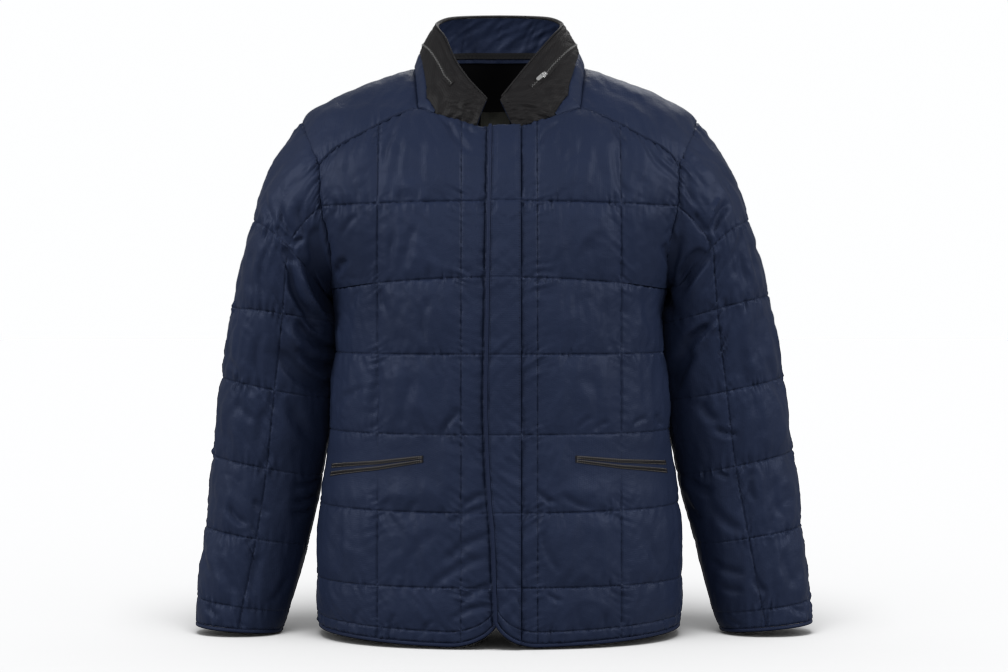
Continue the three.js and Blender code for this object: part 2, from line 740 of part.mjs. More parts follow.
// Ring at a place along the table, with every column of the table eased between its rows
function sleeveRingAt(rings, place) {
  const mixed = {};
  const rows = rings.map((ring, k) => ({ ...ring, place: k }));
  ['outerX', 'outerZ', 'innerX', 'innerZ', 'y', 'depth', 'lift'].forEach((key) => {
    mixed[key] = tableCurve(rows, 'place', key)(place);
  });
  return mixed;
}

function sleeveRows(rings) {
  const rows = [];
  rings.forEach((ring, k) => {
    for (let step = 0; step < ring.steps; step += 1) {
      rows.push({ cell: k, share: step / ring.steps, steps: ring.steps });
    }
  });
  rows.push({ cell: rings.length - 1, share: 1 });
  return rows;
}

function sleevePiece(name, side, loop) {
  const rings = SLEEVE_RINGS[name];
  const angles = loopAngles(loop);
  const rows = sleeveRows(rings);
  const grid = rows.map((row) => loop.map((start, j) => {
    if (row.cell > 0) {
      return sleeveRingPoint(sleeveRingAt(rings, row.cell - 1 + row.share), side, angles[j]);
    }
    const end = sleeveRingPoint(rings[0], side, angles[j]);
    const point = start.clone().lerp(end, row.share);
    const swell = CAP_SWELL * Math.sin(Math.PI * row.share) * (1 + Math.cos(angles[j])) / 2;
    const outward = new THREE.Vector3(side * CAP_OUTWARD.x, 0, CAP_OUTWARD.z);
    return point.addScaledVector(outward, swell);
  }));
  const middle = grid[Math.floor(grid.length / 2)];
  const centre = middle.reduce((sum, point) => sum.add(point), new THREE.Vector3());
  centre.divideScalar(middle.length);
  const normals = gridNormals(grid, true, (point) => point.clone().sub(centre));
  grid[0] = loop.map((start, j) => {
    const normal = armholeNormal(start);
    normals[0][j].copy(normal);
    const away = grid[1][j].clone().sub(start);
    away.addScaledVector(normal, -away.dot(normal)).normalize();
    return start.clone().addScaledVector(away, SEAM_GAP);
  });
  const outer = offsetGrid(grid, normals, (i, j) => SHELL_OUT + sleevePuff(grid, rows, i, j));
  return { grid, normals, outer, rows };
}

function sleevePuff(grid, rows, i, j) {
  const row = rows[i];
  const cell = SLEEVE_SEAM_COLUMNS.findIndex((seam, k) => j >= seam && j < SLEEVE_SEAM_COLUMNS[k + 1]);
  const from = SLEEVE_SEAM_COLUMNS[cell];
  const to = SLEEVE_SEAM_COLUMNS[cell + 1];
  const columnShare = (j - from) / (to - from);
  if (row.share % 1 === 0 || columnShare === 0) {
    return 0;
  }
  const start = i - Math.round(row.share * row.steps);
  const length = grid[start][j].distanceTo(grid[start + row.steps][j]);
  const underarm = 1 - Math.abs(j - UNDERARM_COLUMN) / UNDERARM_COLUMN;
  const under = THREE.MathUtils.smoothstep(underarm, SLEEVE_PRESS.from, SLEEVE_PRESS.to);
  const pressed = 1 - SLEEVE_PRESS.by * under;
  return pressed * puffAt(row.share, columnShare, row.cell + cell, Math.min(length, FULL_CELL));
}

// Strip that binds an edge: it starts one gap beyond the edge and is as thick as the wall
function edgeBinding(edge, normals, beyond, width, out, inwards) {
  const near = edge.map((point, k) => point.clone().addScaledVector(beyond[k], SEAM_GAP));
  const far = edge.map((point, k) => point.clone().addScaledVector(beyond[k], SEAM_GAP + width));
  const grid = [near, far];
  const both = [normals, normals];
  return { outer: offsetGrid(grid, both, out), inner: offsetGrid(grid, both, -inwards) };
}

function awayFrom(edge, inside) {
  return edge.map((point, k) => point.clone().sub(inside[k]).normalize());
}

// Direction square to an edge, in the cloth, pointing out of the piece
function edgeOutward(edge, normals, inside) {
  return edge.map((point, k) => {
    const before = edge[Math.max(k - 1, 0)];
    const after = edge[Math.min(k + 1, edge.length - 1)];
    const outward = after.clone().sub(before).cross(normals[k]).normalize();
    return outward.dot(point.clone().sub(inside[k])) < 0 ? outward.negate() : outward;
  });
}

function addPanel(group, name, panel) {
  const inner = offsetGrid(panel.grid, panel.normals, -SHELL_IN);
  addMesh(group, name, wallGeometry(panel.outer, inner, { rowStep: 2 }), 'navy');
}

function addHemBinding(group, name, panel) {
  const last = panel.grid.length - 1;
  const edge = panel.grid[last];
  const normals = panel.normals[last];
  const beyond = edgeOutward(edge, normals, panel.grid[last - 1]);
  if (panel.side) {
    beyond[0].set(0, 0, -1);
  }
  const strip = edgeBinding(edge, normals, beyond, BINDING_WIDTH, SHELL_OUT, SHELL_IN);
  addMesh(group, name, wallGeometry(strip.outer, strip.inner), 'navy');
}

// Storm flap over both fronts, made on their rows and moved out
function addPlacket(group) {
  const rows = TRUNK_ROWS.map((row) => FLAP_SHARES.map((share) => {
    let z = FIRST_GUESS_Z;
    let x = 0;
    for (let pass = 0; pass < PASSES; pass += 1) {
      x = lerp(FLAP_BINDING - flapEdge(z), FLAP_SEAM, share);
      const above = lineZ(row.cell - 1, x, z, frontTop, CORNER.left);
      const below = lineZ(row.cell, x, z, frontTop, CORNER.left);
      z = lerp(above, below, row.share);
    }
    return trunkPoint(x, z, -1);
  }));
  const normals = gridNormals(rows, false, trunkHint);
  const edge = FLAP_SHARES.length - 1;
  const crown = (j) => (j === 0 || j === edge ? 0 : FLAP_CROWN);
  const outer = offsetGrid(rows, normals, (i, j) => FLAP_LIFT + FLAP_THICK + crown(j));
  const inner = offsetGrid(rows, normals, FLAP_LIFT);
  addMesh(group, 'placket', wallGeometry(outer, inner), 'navy');
  const last = rows.length - 1;
  const path = [...rows.map((row) => row[0]), ...rows[last].slice(1)];
  const pathNormals = [...normals.map((row) => row[0]), ...normals[last].slice(1)];
  const inside = [...rows.map((row) => row[1]), ...rows[last - 1].slice(1)];
  inside[last] = rows[last - 1][1];
  const beyond = edgeOutward(path, pathNormals, inside);
  const proud = FLAP_LIFT + FLAP_THICK + BINDING_PROUD.flap;
  const strip = edgeBinding(path, pathNormals, beyond, FLAP_BINDING - 2 * SEAM_GAP, proud, -FLAP_LIFT);
  addMesh(group, 'placket_binding', wallGeometry(strip.outer, strip.inner), 'navy');
}

// Olive facing that shows between the collar fronts, behind the neckline
function addUnderPlacket(group) {
  const rows = [];
  for (let z = NECK_FACING.low; z <= NECK_FACING.high; z += NECK_FACING.step) {
    rows.push(NECK_FACING.columns.map((x) => trunkPoint(x, z, -1)));
  }
  const normals = gridNormals(rows, false, trunkHint);
  const outer = offsetGrid(rows, normals, -NECK_FACING.depth);
  const inner = offsetGrid(rows, normals, -NECK_FACING.depth - NECK_FACING.thick);
  addMesh(group, 'under_placket', wallGeometry(outer, inner), 'olive');
}

// Neckline from the right front, round the back, to the left front
function neckLoop(right, left, back, yokeRight, yokeLeft) {
  const rightRow = right.seamLine[0].slice(3, right.corner);
  const rightYoke = yokeRight.seamLine.map((row) => row[0]);
  const backRow = back.seamLine[0].slice(back.centre - back.reach + 1, back.centre + back.reach);
  const leftYoke = yokeLeft.seamLine.map((row) => row[0]).reverse();
  const leftRow = left.seamLine[0].slice(1, left.corner).reverse();
  return [...rightRow, ...rightYoke, ...backRow, ...leftYoke, ...leftRow];
}

// Place of each neckline point between the back centre (0) and a front end (1)
function neckPlaces(loop) {
  const centre = loop.reduce((best, point, k) => {
    const flatter = Math.abs(point.x) < Math.abs(loop[best].x);
    return point.y > 0 && (loop[best].y <= 0 || flatter) ? k : best;
  }, 0);
  const walk = (from, to) => {
    let sum = 0;
    for (let k = from; k < to; k += 1) {
      sum += loop[k].distanceTo(loop[k + 1]);
    }
    return sum;
  };
  const rightLength = walk(0, centre);
  const leftLength = walk(centre, loop.length - 1);
  return loop.map((point, k) => {
    return k < centre ? -walk(k, centre) / rightLength : walk(centre, k) / leftLength;
  });
}

const collarTop = {
  right: tableCurve(COLLAR_TOP, 'along', 'right'),
  left: tableCurve(COLLAR_TOP, 'along', 'left'),
  y: tableCurve(COLLAR_TOP, 'along', 'y'),
  z: tableCurve(COLLAR_TOP, 'along', 'z'),
};

function makeCollar(loop) {
  const places = neckPlaces(loop);
  const tops = places.map((place) => {
    const along = Math.abs(place);
    const x = place < 0 ? -collarTop.right(along) : collarTop.left(along);
    return new THREE.Vector3(x, collarTop.y(along), collarTop.z(along));
  });
  const starts = loop.map((point, k) => {
    const up = tops[k].clone().sub(point);
    const normal = neckNormal(point);
    up.addScaledVector(normal, -up.dot(normal)).normalize();
    return point.clone().addScaledVector(up, SEAM_GAP);
  });
  const pointAt = (k, v) => {
    const point = starts[k].clone().lerp(tops[k], v);
    return point.addScaledVector(neckOutward(starts[k]), COLLAR_BULGE * 4 * v * (1 - v));
  };
  return { loop, places, tops, starts, pointAt };
}

// Layer of the collar between two heights and two offsets, over a run of its columns
function collarLayer(collar, first, last, heights, out, inwards) {
  const grid = heights(0).map((unused, row) => {
    const line = [];
    for (let k = first; k <= last; k += 1) {
      line.push(collar.pointAt(k, heights(k)[row]));
    }
    return line;
  });
  const normals = gridNormals(grid, false, (point) => neckOutward(point));
  grid[0].forEach((point, j) => {
    if (heights(first + j)[0] === 0) {
      normals[0][j].copy(neckNormal(collar.loop[first + j]));
    }
  });
  return {
    grid,
    normals,
    outer: offsetGrid(grid, normals, out),
    inner: offsetGrid(grid, normals, -inwards),
  };
}

function addLayer(group, name, layer, finish) {
  addMesh(group, name, wallGeometry(layer.outer, layer.inner), finish);
  return layer;
}

function addCollar(group, collar) {
  const count = collar.loop.length - 1;
  const inStand = (k) => Math.abs(collar.places[k]) <= STAND_END;
  const standFirst = collar.places.findIndex((place) => Math.abs(place) <= STAND_END);
  const standLast = count - [...collar.places].reverse().findIndex((place) => Math.abs(place) <= STAND_END);
  const split = (k) => standShare(Math.min(Math.abs(collar.places[k]), STAND_END));
  const above = (k) => [1 / 3, 2 / 3, 1].map((t) => lerp(split(k), 1, t));
  const standHeights = (k) => [0, split(k) - STAND_SEAM];
  const upperHeights = (k) => [inStand(k) ? split(k) + STAND_SEAM : 0, ...above(k)];
  const facingHeights = (k) => [0, split(k), ...above(k)];
  const stand = collarLayer(collar, standFirst, standLast, standHeights, COLLAR_OUT, COLLAR_IN);
  addLayer(group, 'collar_stand', stand, 'navy');
  const upper = collarLayer(collar, 0, count, upperHeights, COLLAR_OUT, COLLAR_IN);
  addLayer(group, 'collar_upper', upper, 'charcoal');
  const facing = collarLayer(collar, 0, count, facingHeights, -FACING_FACE, FACING_BACK);
  addLayer(group, 'collar_facing', facing, 'navy');
  const ups = collar.tops.map((top, k) => top.clone().sub(collar.pointAt(k, 0.8)).normalize());
  const topNormals = upper.normals[upper.normals.length - 1];
  const strip = edgeBinding(collar.tops, topNormals, ups, COLLAR_BINDING,
    COLLAR_OUT + BINDING_PROUD.collarOut, FACING_BACK + BINDING_PROUD.collarIn);
  addMesh(group, 'collar_binding', wallGeometry(strip.outer, strip.inner), 'charcoal');
  const tapeFirst = collar.places.findIndex((place) => place > -NECK_TAPE.reach);
  const tapeLast = count - [...collar.places].reverse().findIndex((place) => place < NECK_TAPE.reach);
  const face = FACING_BACK + NECK_TAPE.gap;
  const tape = collarLayer(collar, tapeFirst, tapeLast, () => [NECK_TAPE.low, NECK_TAPE.high], -face,
    face + NECK_TAPE.thick);
  addLayer(group, 'neck_tape', tape, 'black');
}

// Zip tape on the upper collar, round the back of the neck
function addZipTape(group, collar) {
  const first = collar.places.findIndex((place) => place >= ZIP.rightEnd);
  const last = collar.places.findIndex((place) => place >= ZIP.leftEnd);
  const heights = () => [ZIP.height - ZIP.tapeHalf, ZIP.height + ZIP.tapeHalf];
  const low = COLLAR_OUT + SEAM_GAP;
  const tape = collarLayer(collar, first, last, heights, low + ZIP.tapeThick, -low);
  addLayer(group, 'zip_tape', tape, 'charcoal');
}

// Place of the slider: X runs along the zip to its lower end and Z points out of the collar
function sliderFrame(collar) {
  const k = collar.places.findIndex((place) => place > ZIP.slider) - 1;
  const t = (ZIP.slider - collar.places[k]) / (collar.places[k + 1] - collar.places[k]);
  const here = collar.pointAt(k, ZIP.height);
  const next = collar.pointAt(k + 1, ZIP.height);
  const higher = collar.pointAt(k, ZIP.height + ZIP.tapeHalf);
  const along = next.clone().sub(here).normalize();
  const out = higher.sub(here).cross(along).normalize();
  if (out.dot(neckOutward(here)) < 0) {
    out.negate();
  }
  const across = out.clone().cross(along);
  const lift = COLLAR_OUT + SEAM_GAP + ZIP.tapeThick + SEAM_GAP;
  const point = here.lerp(next, t).addScaledVector(out, lift);
  return new THREE.Matrix4().makeBasis(along, across, out).setPosition(point);
}

function outlineShape(points) {
  return new THREE.Shape(points.map(([x, y]) => new THREE.Vector2(x, y)));
}

function plate(shape, thick) {
  return new THREE.ExtrudeGeometry(shape, { depth: thick, bevelEnabled: false, curveSegments: 4 });
}

function solidOf(geometry) {
  const plain = geometry.clone();
  plain.deleteAttribute('normal');
  plain.deleteAttribute('uv');
  const merged = mergeVertices(plain, 1e-4);
  return new wasm.Manifold(new wasm.Mesh({
    numProp: 3,
    vertProperties: new Float32Array(merged.attributes.position.array),
    triVerts: new Uint32Array(merged.index.array),
  }));
}

function geometryOf(solid) {
  const mesh = solid.getMesh();
  const geometry = new THREE.BufferGeometry();
  geometry.setAttribute('position', new THREE.BufferAttribute(mesh.vertProperties, 3));
  geometry.setIndex(Array.from(mesh.triVerts));
  geometry.computeVertexNormals();
  return geometry;
}

// Slider body with the bridge that the pull tab hangs on
function sliderGeometry() {
  const { back: rear, front, halfBack, halfFront, thick } = SLIDER;
  const body = plate(outlineShape([
    [-rear, -halfBack], [front - 1, -halfFront], [front, -halfFront + 1],
    [front, halfFront - 1], [front - 1, halfFront], [-rear, halfBack],
  ]), thick);
  const { half, top, holeHalf, holeLow, holeTop, width, root } = BRIDGE;
  const arch = outlineShape([[-half, root], [half, root], [half, top - 1], [half - 1, top], [1 - half, top],
    [-half, top - 1]]);
  arch.holes.push(outlineShape([[-holeHalf, holeLow], [-holeHalf, holeTop], [holeHalf, holeTop],
    [holeHalf, holeLow]]));
  const bridge = plate(arch, width);
  bridge.rotateX(Math.PI / 2);
  bridge.translate(0, width / 2, 0);
  return geometryOf(solidOf(body).add(solidOf(bridge)));
}

// Pull tab round its own hinge bar, which runs across the zip
function pullGeometry() {
  const { length, half, bar, windowEnd, windowHalf, thick, droop } = PULL;
  const tab = new THREE.Shape();
  tab.moveTo(-bar, -half);
  tab.lineTo(length - half, -half);
  tab.absarc(length - half, 0, half, -Math.PI / 2, Math.PI / 2, false);
  tab.lineTo(-bar, half);
  tab.closePath();
  tab.holes.push(outlineShape([[bar, -windowHalf], [bar, windowHalf], [windowEnd, windowHalf],
    [windowEnd, -windowHalf]]));
  const geometry = plate(tab, thick);
  geometry.translate(0, 0, -thick / 2);
  geometry.rotateY(THREE.MathUtils.degToRad(droop));
  return geometry;
}

function addSlider(group, collar) {
  const frame = sliderFrame(collar);
  const slider = addMesh(group, 'zip_slider', sliderGeometry(), 'zip');
  slider.applyMatrix4(frame);
  const pull = addMesh(group, 'zip_pull', pullGeometry(), 'zip');
  const hinge = (BRIDGE.holeLow + BRIDGE.holeTop) / 2;
  pull.applyMatrix4(frame.clone().multiply(new THREE.Matrix4().makeTranslation(0, 0, hinge)));
}

// Point of a panel's outer face by column, at a height, moved out by a distance
function onPanel(panel, column, z, lift) {
  const j = Math.floor(column);
  const across = column - j;
  const at = (grid, i) => grid[i][j].clone().lerp(grid[i][j + 1], across);
  let i = 0;
  while (at(panel.outer, i + 1).z > z) {
    i += 1;
  }
  const upper = at(panel.outer, i);
  const lower = at(panel.outer, i + 1);
  const point = upper.clone().lerp(lower, (z - upper.z) / (lower.z - upper.z));
  return point.addScaledVector(at(panel.normals, i).normalize(), lift);
}

// Double welts of a slanted pocket mouth, laid on the front
function addWelts(group, panel) {
  const pocket = POCKETS[panel.name];
  const columns = [pocket.tipColumn];
  for (let j = Math.ceil(pocket.tipColumn * 2) / 2; j < pocket.sideColumn; j += 0.5) {
    columns.push(j);
  }
  columns.push(pocket.sideColumn);
  [['upper', 1], ['lower', -1]].forEach(([place, up]) => {
    const strip = (lift) => [0, 1].map((edge) => columns.map((column) => {
      const share = (column - pocket.tipColumn) / (pocket.sideColumn - pocket.tipColumn);
      const mouth = lerp(pocket.tipZ, pocket.sideZ, share);
      const slit = lerp(SLIT_WIDTH.tip, SLIT_WIDTH.side, share) / 2;
      const width = lerp(WELT_WIDTH.tip, WELT_WIDTH.side, share);
      return onPanel(panel, column, mouth + up * (slit + edge * width), lift);
    }));
    const geometry = wallGeometry(strip(WELT_LIFT + WELT_THICK), strip(WELT_LIFT));
    addMesh(group, `welt_${place}_${panel.name}`, geometry, 'charcoal');
  });
}

const group = new THREE.Group();

const frontRight = frontPanel('right');
const frontLeft = frontPanel('left');
const back = backPanel();
addPanel(group, 'front_right', frontRight);
addPanel(group, 'front_left', frontLeft);
addPanel(group, 'back', back);

const yokes = {
  right: yokePanel(frontRight, back),
  left: yokePanel(frontLeft, back),
};
Object.entries(yokes).forEach(([name, yoke]) => {
  const outer = offsetGrid(yoke.grid, yoke.normals, SHELL_OUT);
  const inner = offsetGrid(yoke.grid, yoke.normals, -SHELL_IN);
  addMesh(group, `yoke_${name}`, wallGeometry(outer, inner), 'navy');
});

[['right', -1, frontRight], ['left', 1, frontLeft]].forEach(([name, side, front]) => {
  const sleeve = sleevePiece(name, side, armholeLoop(front, back, yokes[name]));
  const inner = offsetGrid(sleeve.grid, sleeve.normals, -SHELL_IN);
  const wall = wallGeometry(sleeve.outer, inner, { rowStep: 2, columnStep: 2, around: true });
  addMesh(group, `sleeve_${name}`, wall, 'navy');
  const last = sleeve.grid.length - 1;
  const beyond = awayFrom(sleeve.grid[last], sleeve.grid[last - 1]);
  const strip = edgeBinding(sleeve.grid[last], sleeve.normals[last], beyond, BINDING_WIDTH,
    SHELL_OUT + BINDING_PROUD.cuffOut, SHELL_IN + BINDING_PROUD.cuffIn);
  const band = wallGeometry(strip.outer, strip.inner, { columnStep: 2, around: true });
  addMesh(group, `cuff_binding_${name}`, band, 'navy');
});

addHemBinding(group, 'hem_binding_right', frontRight);
addHemBinding(group, 'hem_binding_left', frontLeft);
addHemBinding(group, 'hem_binding_back', back);
addPlacket(group);
addUnderPlacket(group);

const collar = makeCollar(neckLoop(frontRight, frontLeft, back, yokes.right, yokes.left));
addCollar(group, collar);
addZipTape(group, collar);
addSlider(group, collar);
addWelts(group, frontRight);
addWelts(group, frontLeft);

export default group;
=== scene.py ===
"""Quilted puffer jacket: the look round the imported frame. Pattern sizes are in millimetres."""

import math

import bpy
import numpy as np
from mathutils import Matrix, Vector


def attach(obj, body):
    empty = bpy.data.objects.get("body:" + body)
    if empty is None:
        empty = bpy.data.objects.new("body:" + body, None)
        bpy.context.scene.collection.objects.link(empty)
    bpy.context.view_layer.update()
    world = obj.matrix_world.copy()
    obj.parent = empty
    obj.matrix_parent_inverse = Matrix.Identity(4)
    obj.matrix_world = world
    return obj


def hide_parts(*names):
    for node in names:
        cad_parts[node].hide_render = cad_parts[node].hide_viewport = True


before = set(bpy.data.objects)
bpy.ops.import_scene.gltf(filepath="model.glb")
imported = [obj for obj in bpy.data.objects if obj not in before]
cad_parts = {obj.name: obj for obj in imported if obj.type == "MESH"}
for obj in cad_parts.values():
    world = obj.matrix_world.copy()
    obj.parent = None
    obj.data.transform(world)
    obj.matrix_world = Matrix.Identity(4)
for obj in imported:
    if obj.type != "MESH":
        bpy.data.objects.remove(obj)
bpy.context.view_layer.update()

MM = 0.001
# Grid steps for one step of the pattern, and how far they crowd towards the seams
FINE = 10
HEM_FINE = 6
CROWD = 0.6
CROWD_POWER = 1.4

# Camera

CAMERA_DISTANCE = 3.3
CAMERA_X = 0.0054
CAMERA_Z = -0.228
CAMERA_PITCH = 1.59
CAMERA_LENS = 98.0


def add_camera():
    data = bpy.data.cameras.new("camera")
    data.lens = CAMERA_LENS
    data.sensor_width = 36
    data.clip_end = 50
    camera = bpy.data.objects.new("camera", data)
    camera.location = (CAMERA_X, -CAMERA_DISTANCE, CAMERA_Z)
    camera.rotation_euler = (math.radians(90 - CAMERA_PITCH), 0, 0)
    bpy.context.scene.collection.objects.link(camera)
    bpy.context.scene.camera = camera


add_camera()

# Pattern tables

SEAM_GAP = 0.35
SHELL_OUT = 2.0
SHELL_IN = 1.2
RING_POWER = 2.3
FRONT_V1 = 44
FRONT_V2 = 141
NECK_CORNER_FRONT = 95
FLAP_SEAM = 24.5
FLAP_BINDING = 5
FLAP_LIFT = 2.4
FLAP_THICK = 2.6
FLAP_LAP = 1.2
BINDING_WIDTH = 4.2
BACK_V1 = 48
BACK_V2 = 140
NECK_CORNER_BACK = 86
COLLAR_OUT = 1.3
COLLAR_IN = 0.9
FACING_FACE = 1.5
FACING_BACK = 3.2
COLLAR_BULGE = 3.5
COLLAR_BINDING = 2.4
ARMHOLE_MIDDLE_Z = -163
ARMHOLE_HALF_HEIGHT = 98
ARMHOLE_HALF_DEPTH = 85
ARMHOLE_LEAN = 0.35
NECK_MIDDLE_Y = -9
NECK_HALF_DEPTH = 81
NECK_HALF_WIDTH = 101
SHOULDER_X = 235
SHOULDER_Z = -65
LEAST_AREA = 0.31
LEAST_WIDTH = 10


def table(names, *rows):
    """Columns of a table as arrays, by name."""
    columns = list(zip(*rows))
    return {name: np.array(column, float) for name, column in zip(names.split(), columns)}


TRUNK = table(
    "z half front back power",
    (14, 103, 8, 73, 2.4), (0, 101, 12, 83, 2.3), (-13, 136, 36, 88, 1.8),
    (-30, 180, 54, 94, 1.55), (-45, 209, 68, 99, 1.7), (-54, 225, 77, 102, 1.8),
    (-65, 235, 87, 105, 1.9), (-95, 256, 106, 115, 2.1), (-122, 266, 116, 122, 2.3),
    (-161, 261, 126, 128, 2.3), (-193, 240, 131, 131, 2.3), (-218, 222, 134, 132, 2.3),
    (-245, 205, 136, 133, 2.3), (-262, 199, 137, 133, 2.3), (-281, 194, 138, 133, 2.3),
    (-300, 192, 139, 133, 2.3), (-400, 199, 140, 131, 2.3), (-460, 203, 142, 134, 2.3),
    (-512, 211, 145, 138, 2.3), (-560, 215, 148, 143, 2.3), (-620, 216, 151, 148, 2.3),
    (-690, 214, 153, 151, 2.3))
ARMHOLE = table(
    "z x", (-65, 235), (-95, 217), (-122, 210), (-161, 209), (-193, 202), (-218, 198),
    (-245, 197.5), (-262, 199))
FRONT_TOP = table(
    "x z", (0, -73), (26, -72), (47, -65), (81, -55.5), (95, -51), (120, -60), (145, -72.5),
    (170, -86), (195, -101), (212, -119))
BACK_TOP = table(
    "x z", (0, 14), (40, 14), (70, 12), (86, 8), (115, -24), (140, -44), (170, -65),
    (195, -86), (212, -106))
LINES = table(
    "centre side steps", (-160, -168, 4), (-248, -262, 4), (-337, -338, 4), (-430, -430, 4),
    (-520, -518, 4), (-606, -606, 4), (-657, -650, 4), (-670, -662, 2))
CORNER = {"right": (0, 60, 42), "left": (-5, 50, 40)}
FLAP_EDGE = table(
    "z x", (-72, 13), (-200, 15), (-330, 17), (-400, 18), (-500, 14), (-545, 10), (-610, 7.5),
    (-690, 5))
SLEEVE_COLUMNS = "outerX outerZ innerX innerZ y depth lift steps"
SLEEVES = {
    "right": table(
        SLEEVE_COLUMNS, (293, -182, 209, -269, 6, 82, 16, 4), (318, -286, 200, -303, 16, 75, 4, 4),
        (333, -370, 207.5, -394, 26, 69, 0, 4), (344, -464, 217, -488, 27, 64, 0, 4),
        (352, -550, 234, -570, 18, 57, 0, 4), (362, -634, 256, -649, 4, 48, 0, 4),
        (363, -663, 263, -670, -1, 45, 0, 2)),
    "left": table(
        SLEEVE_COLUMNS, (296, -182, 209, -269, 6, 82, 16, 4), (320, -272, 200, -305, 16, 75, 4, 4),
        (339, -370, 207.5, -396, 26, 69, 0, 4), (352, -459, 218, -487, 27, 64, 0, 4),
        (362, -549, 239, -569, 18, 57, 0, 4), (372, -637, 260, -651, 4, 48, 0, 4),
        (374, -660, 267, -669, -1, 45, 0, 2)),
}
SLEEVE_POWER = 2.15
CAP_SWELL = 7
# Seams round a sleeve, from its outside over the front, of 24 parts of a turn
SLEEVE_SEAMS = [0, 8, 12, 16, 24]
COLLAR_TOP = table(
    "along right left y z", (0, 0, 0, 64, 68), (0.15, 38, 38, 60, 67), (0.26, 62, 62, 47, 64),
    (0.36, 75, 75, 27, 57), (0.46, 76, 75, 3, 50), (0.57, 66, 63, -22, 36),
    (0.72, 53, 39, -47, 7), (0.86, 37, 20, -66, -17), (1, 15, 1, -81, -41))
STAND_SHARE = table(
    "along share", (0, 0.4), (0.48, 0.38), (0.6, 0.34), (0.7, 0.31), (0.78, 0.2), (0.83, 0.05))
STAND_END = 0.83
STAND_SEAM = 0.004
POCKETS = {
    "right": {"tip": 5.7, "side": 10.6, "tip_z": -458, "side_z": -477},
    "left": {"tip": 5.7, "side": 10.5, "tip_z": -458, "side_z": -473},
}
ZIP = {"first": -0.82, "last": 0.84, "half": 0.055}
ZIP_HEIGHT = table(
    "along share", (0, 0.52), (0.36, 0.52), (0.55, 0.64), (0.68, 0.72), (0.75, 0.73), (0.84, 0.70))

# Helpers


def curve(rows, start, end):
    """Smooth curve through a table's rows, from one column to another."""
    order = np.argsort(rows[start])
    xs = rows[start][order]
    ys = rows[end][order]
    index = np.arange(len(xs))
    before = np.maximum(index - 1, 0)
    after = np.minimum(index + 1, len(xs) - 1)
    slope = (ys[after] - ys[before]) / (xs[after] - xs[before])

    def at(x):
        x = np.asarray(x, float)
        k = np.searchsorted(xs[1:-1], x)
        width = xs[k + 1] - xs[k]
        t = np.clip((x - xs[k]) / width, 0, 1)
        rise = t * t * (3 - 2 * t)
        ease = t * (1 - t) * width
        return ys[k] + (ys[k + 1] - ys[k]) * rise + ease * ((1 - t) * slope[k] - t * slope[k + 1])

    return at


def lerp(a, b, t):
    return a + (b - a) * t


def smooth(x, low, high):
    t = np.clip((x - low) / (high - low), 0, 1)
    return t * t * (3 - 2 * t)


def unit(v):
    return v / np.maximum(np.linalg.norm(v, axis=-1, keepdims=True), 1e-9)


def run_of(points):
    """Distance along a line at each of its points."""
    return np.concatenate([[0], np.cumsum(np.linalg.norm(np.diff(points, axis=0), axis=1))])


def at_place(place, places, line):
    """What a line holds at one place along it, or at several."""
    return np.stack([np.interp(place, places, line[:, k]) for k in range(3)], axis=-1)


def level_out(point):
    return np.array([point[0], point[1], 0])


def noise(x, y, seed=0.0):
    """Gradient noise between about -1 and 1."""
    x, y = np.broadcast_arrays(np.asarray(x, float), np.asarray(y, float))
    xi, yi = np.floor(x), np.floor(y)
    fx, fy = x - xi, y - yi

    def corner(dx, dy):
        h = np.sin((xi + dx) * 127.1 + (yi + dy) * 311.7 + seed * 74.7) * 43758.5453
        angle = 2 * math.pi * (h - np.floor(h))
        return np.cos(angle) * (fx - dx) + np.sin(angle) * (fy - dy)

    u = fx ** 3 * (fx * (fx * 6 - 15) + 10)
    v = fy ** 3 * (fy * (fy * 6 - 15) + 10)
    low = lerp(corner(0, 0), corner(1, 0), u)
    high = lerp(corner(0, 1), corner(1, 1), u)
    return 1.5 * lerp(low, high, v)


ring_half = curve(TRUNK, "z", "half")
ring_front = curve(TRUNK, "z", "front")
ring_back = curve(TRUNK, "z", "back")
ring_power = curve(TRUNK, "z", "power")
armhole_x = curve(ARMHOLE, "z", "x")
front_top = curve(FRONT_TOP, "x", "z")
back_top = curve(BACK_TOP, "x", "z")
flap_edge = curve(FLAP_EDGE, "z", "x")
stand_share = curve(STAND_SHARE, "along", "share")


def trunk_point(x, z, facing):
    """Point of the trunk surface, with facing -1 at the front and 1 at the back."""
    x, z = np.broadcast_arrays(np.asarray(x, float), np.asarray(z, float))
    power = RING_POWER if facing < 0 else ring_power(z)
    depth = ring_front(z) if facing < 0 else ring_back(z)
    ratio = np.minimum(np.abs(x) / ring_half(z), 1)
    y = facing * depth * (1 - ratio ** power) ** (1 / power)
    return np.stack([x, y, z], axis=-1)


def ring_angle(x, z, power):
    return np.arcsin(np.minimum(x / ring_half(z), 1) ** (power / 2))


def corner_rise(corner, x):
    start, width, rise = corner
    share = np.clip((width - (x - start)) / width, 0, 1)
    return rise * (1 - np.sqrt(1 - share * share))


def crowd(share):
    """Share of a cell, moved towards the seams at its two ends."""
    return share - CROWD * np.sin(2 * math.pi * share) / (2 * math.pi)


def crowd_one(t, side):
    """Share of a part of a cell, moved towards its start or its end alone."""
    return t ** CROWD_POWER if side < 0 else 1 - (1 - t) ** CROWD_POWER


def split(steps, fine):
    """Places from 0 to 1 for a cell of the pattern, without its end."""
    return [float(crowd(k / (steps * fine))) for k in range(int(steps * fine))]


def row_table(pattern):
    """Cell of each row of points, and its share of that cell, from the steps of each cell."""
    last = len(pattern) - 1
    rows = [(k, share) for k, steps in enumerate(pattern)
            for share in split(steps, FINE if k < last else HEM_FINE)]
    rows.append((last, 1.0))
    return np.array([r[0] for r in rows]), np.array([r[1] for r in rows])


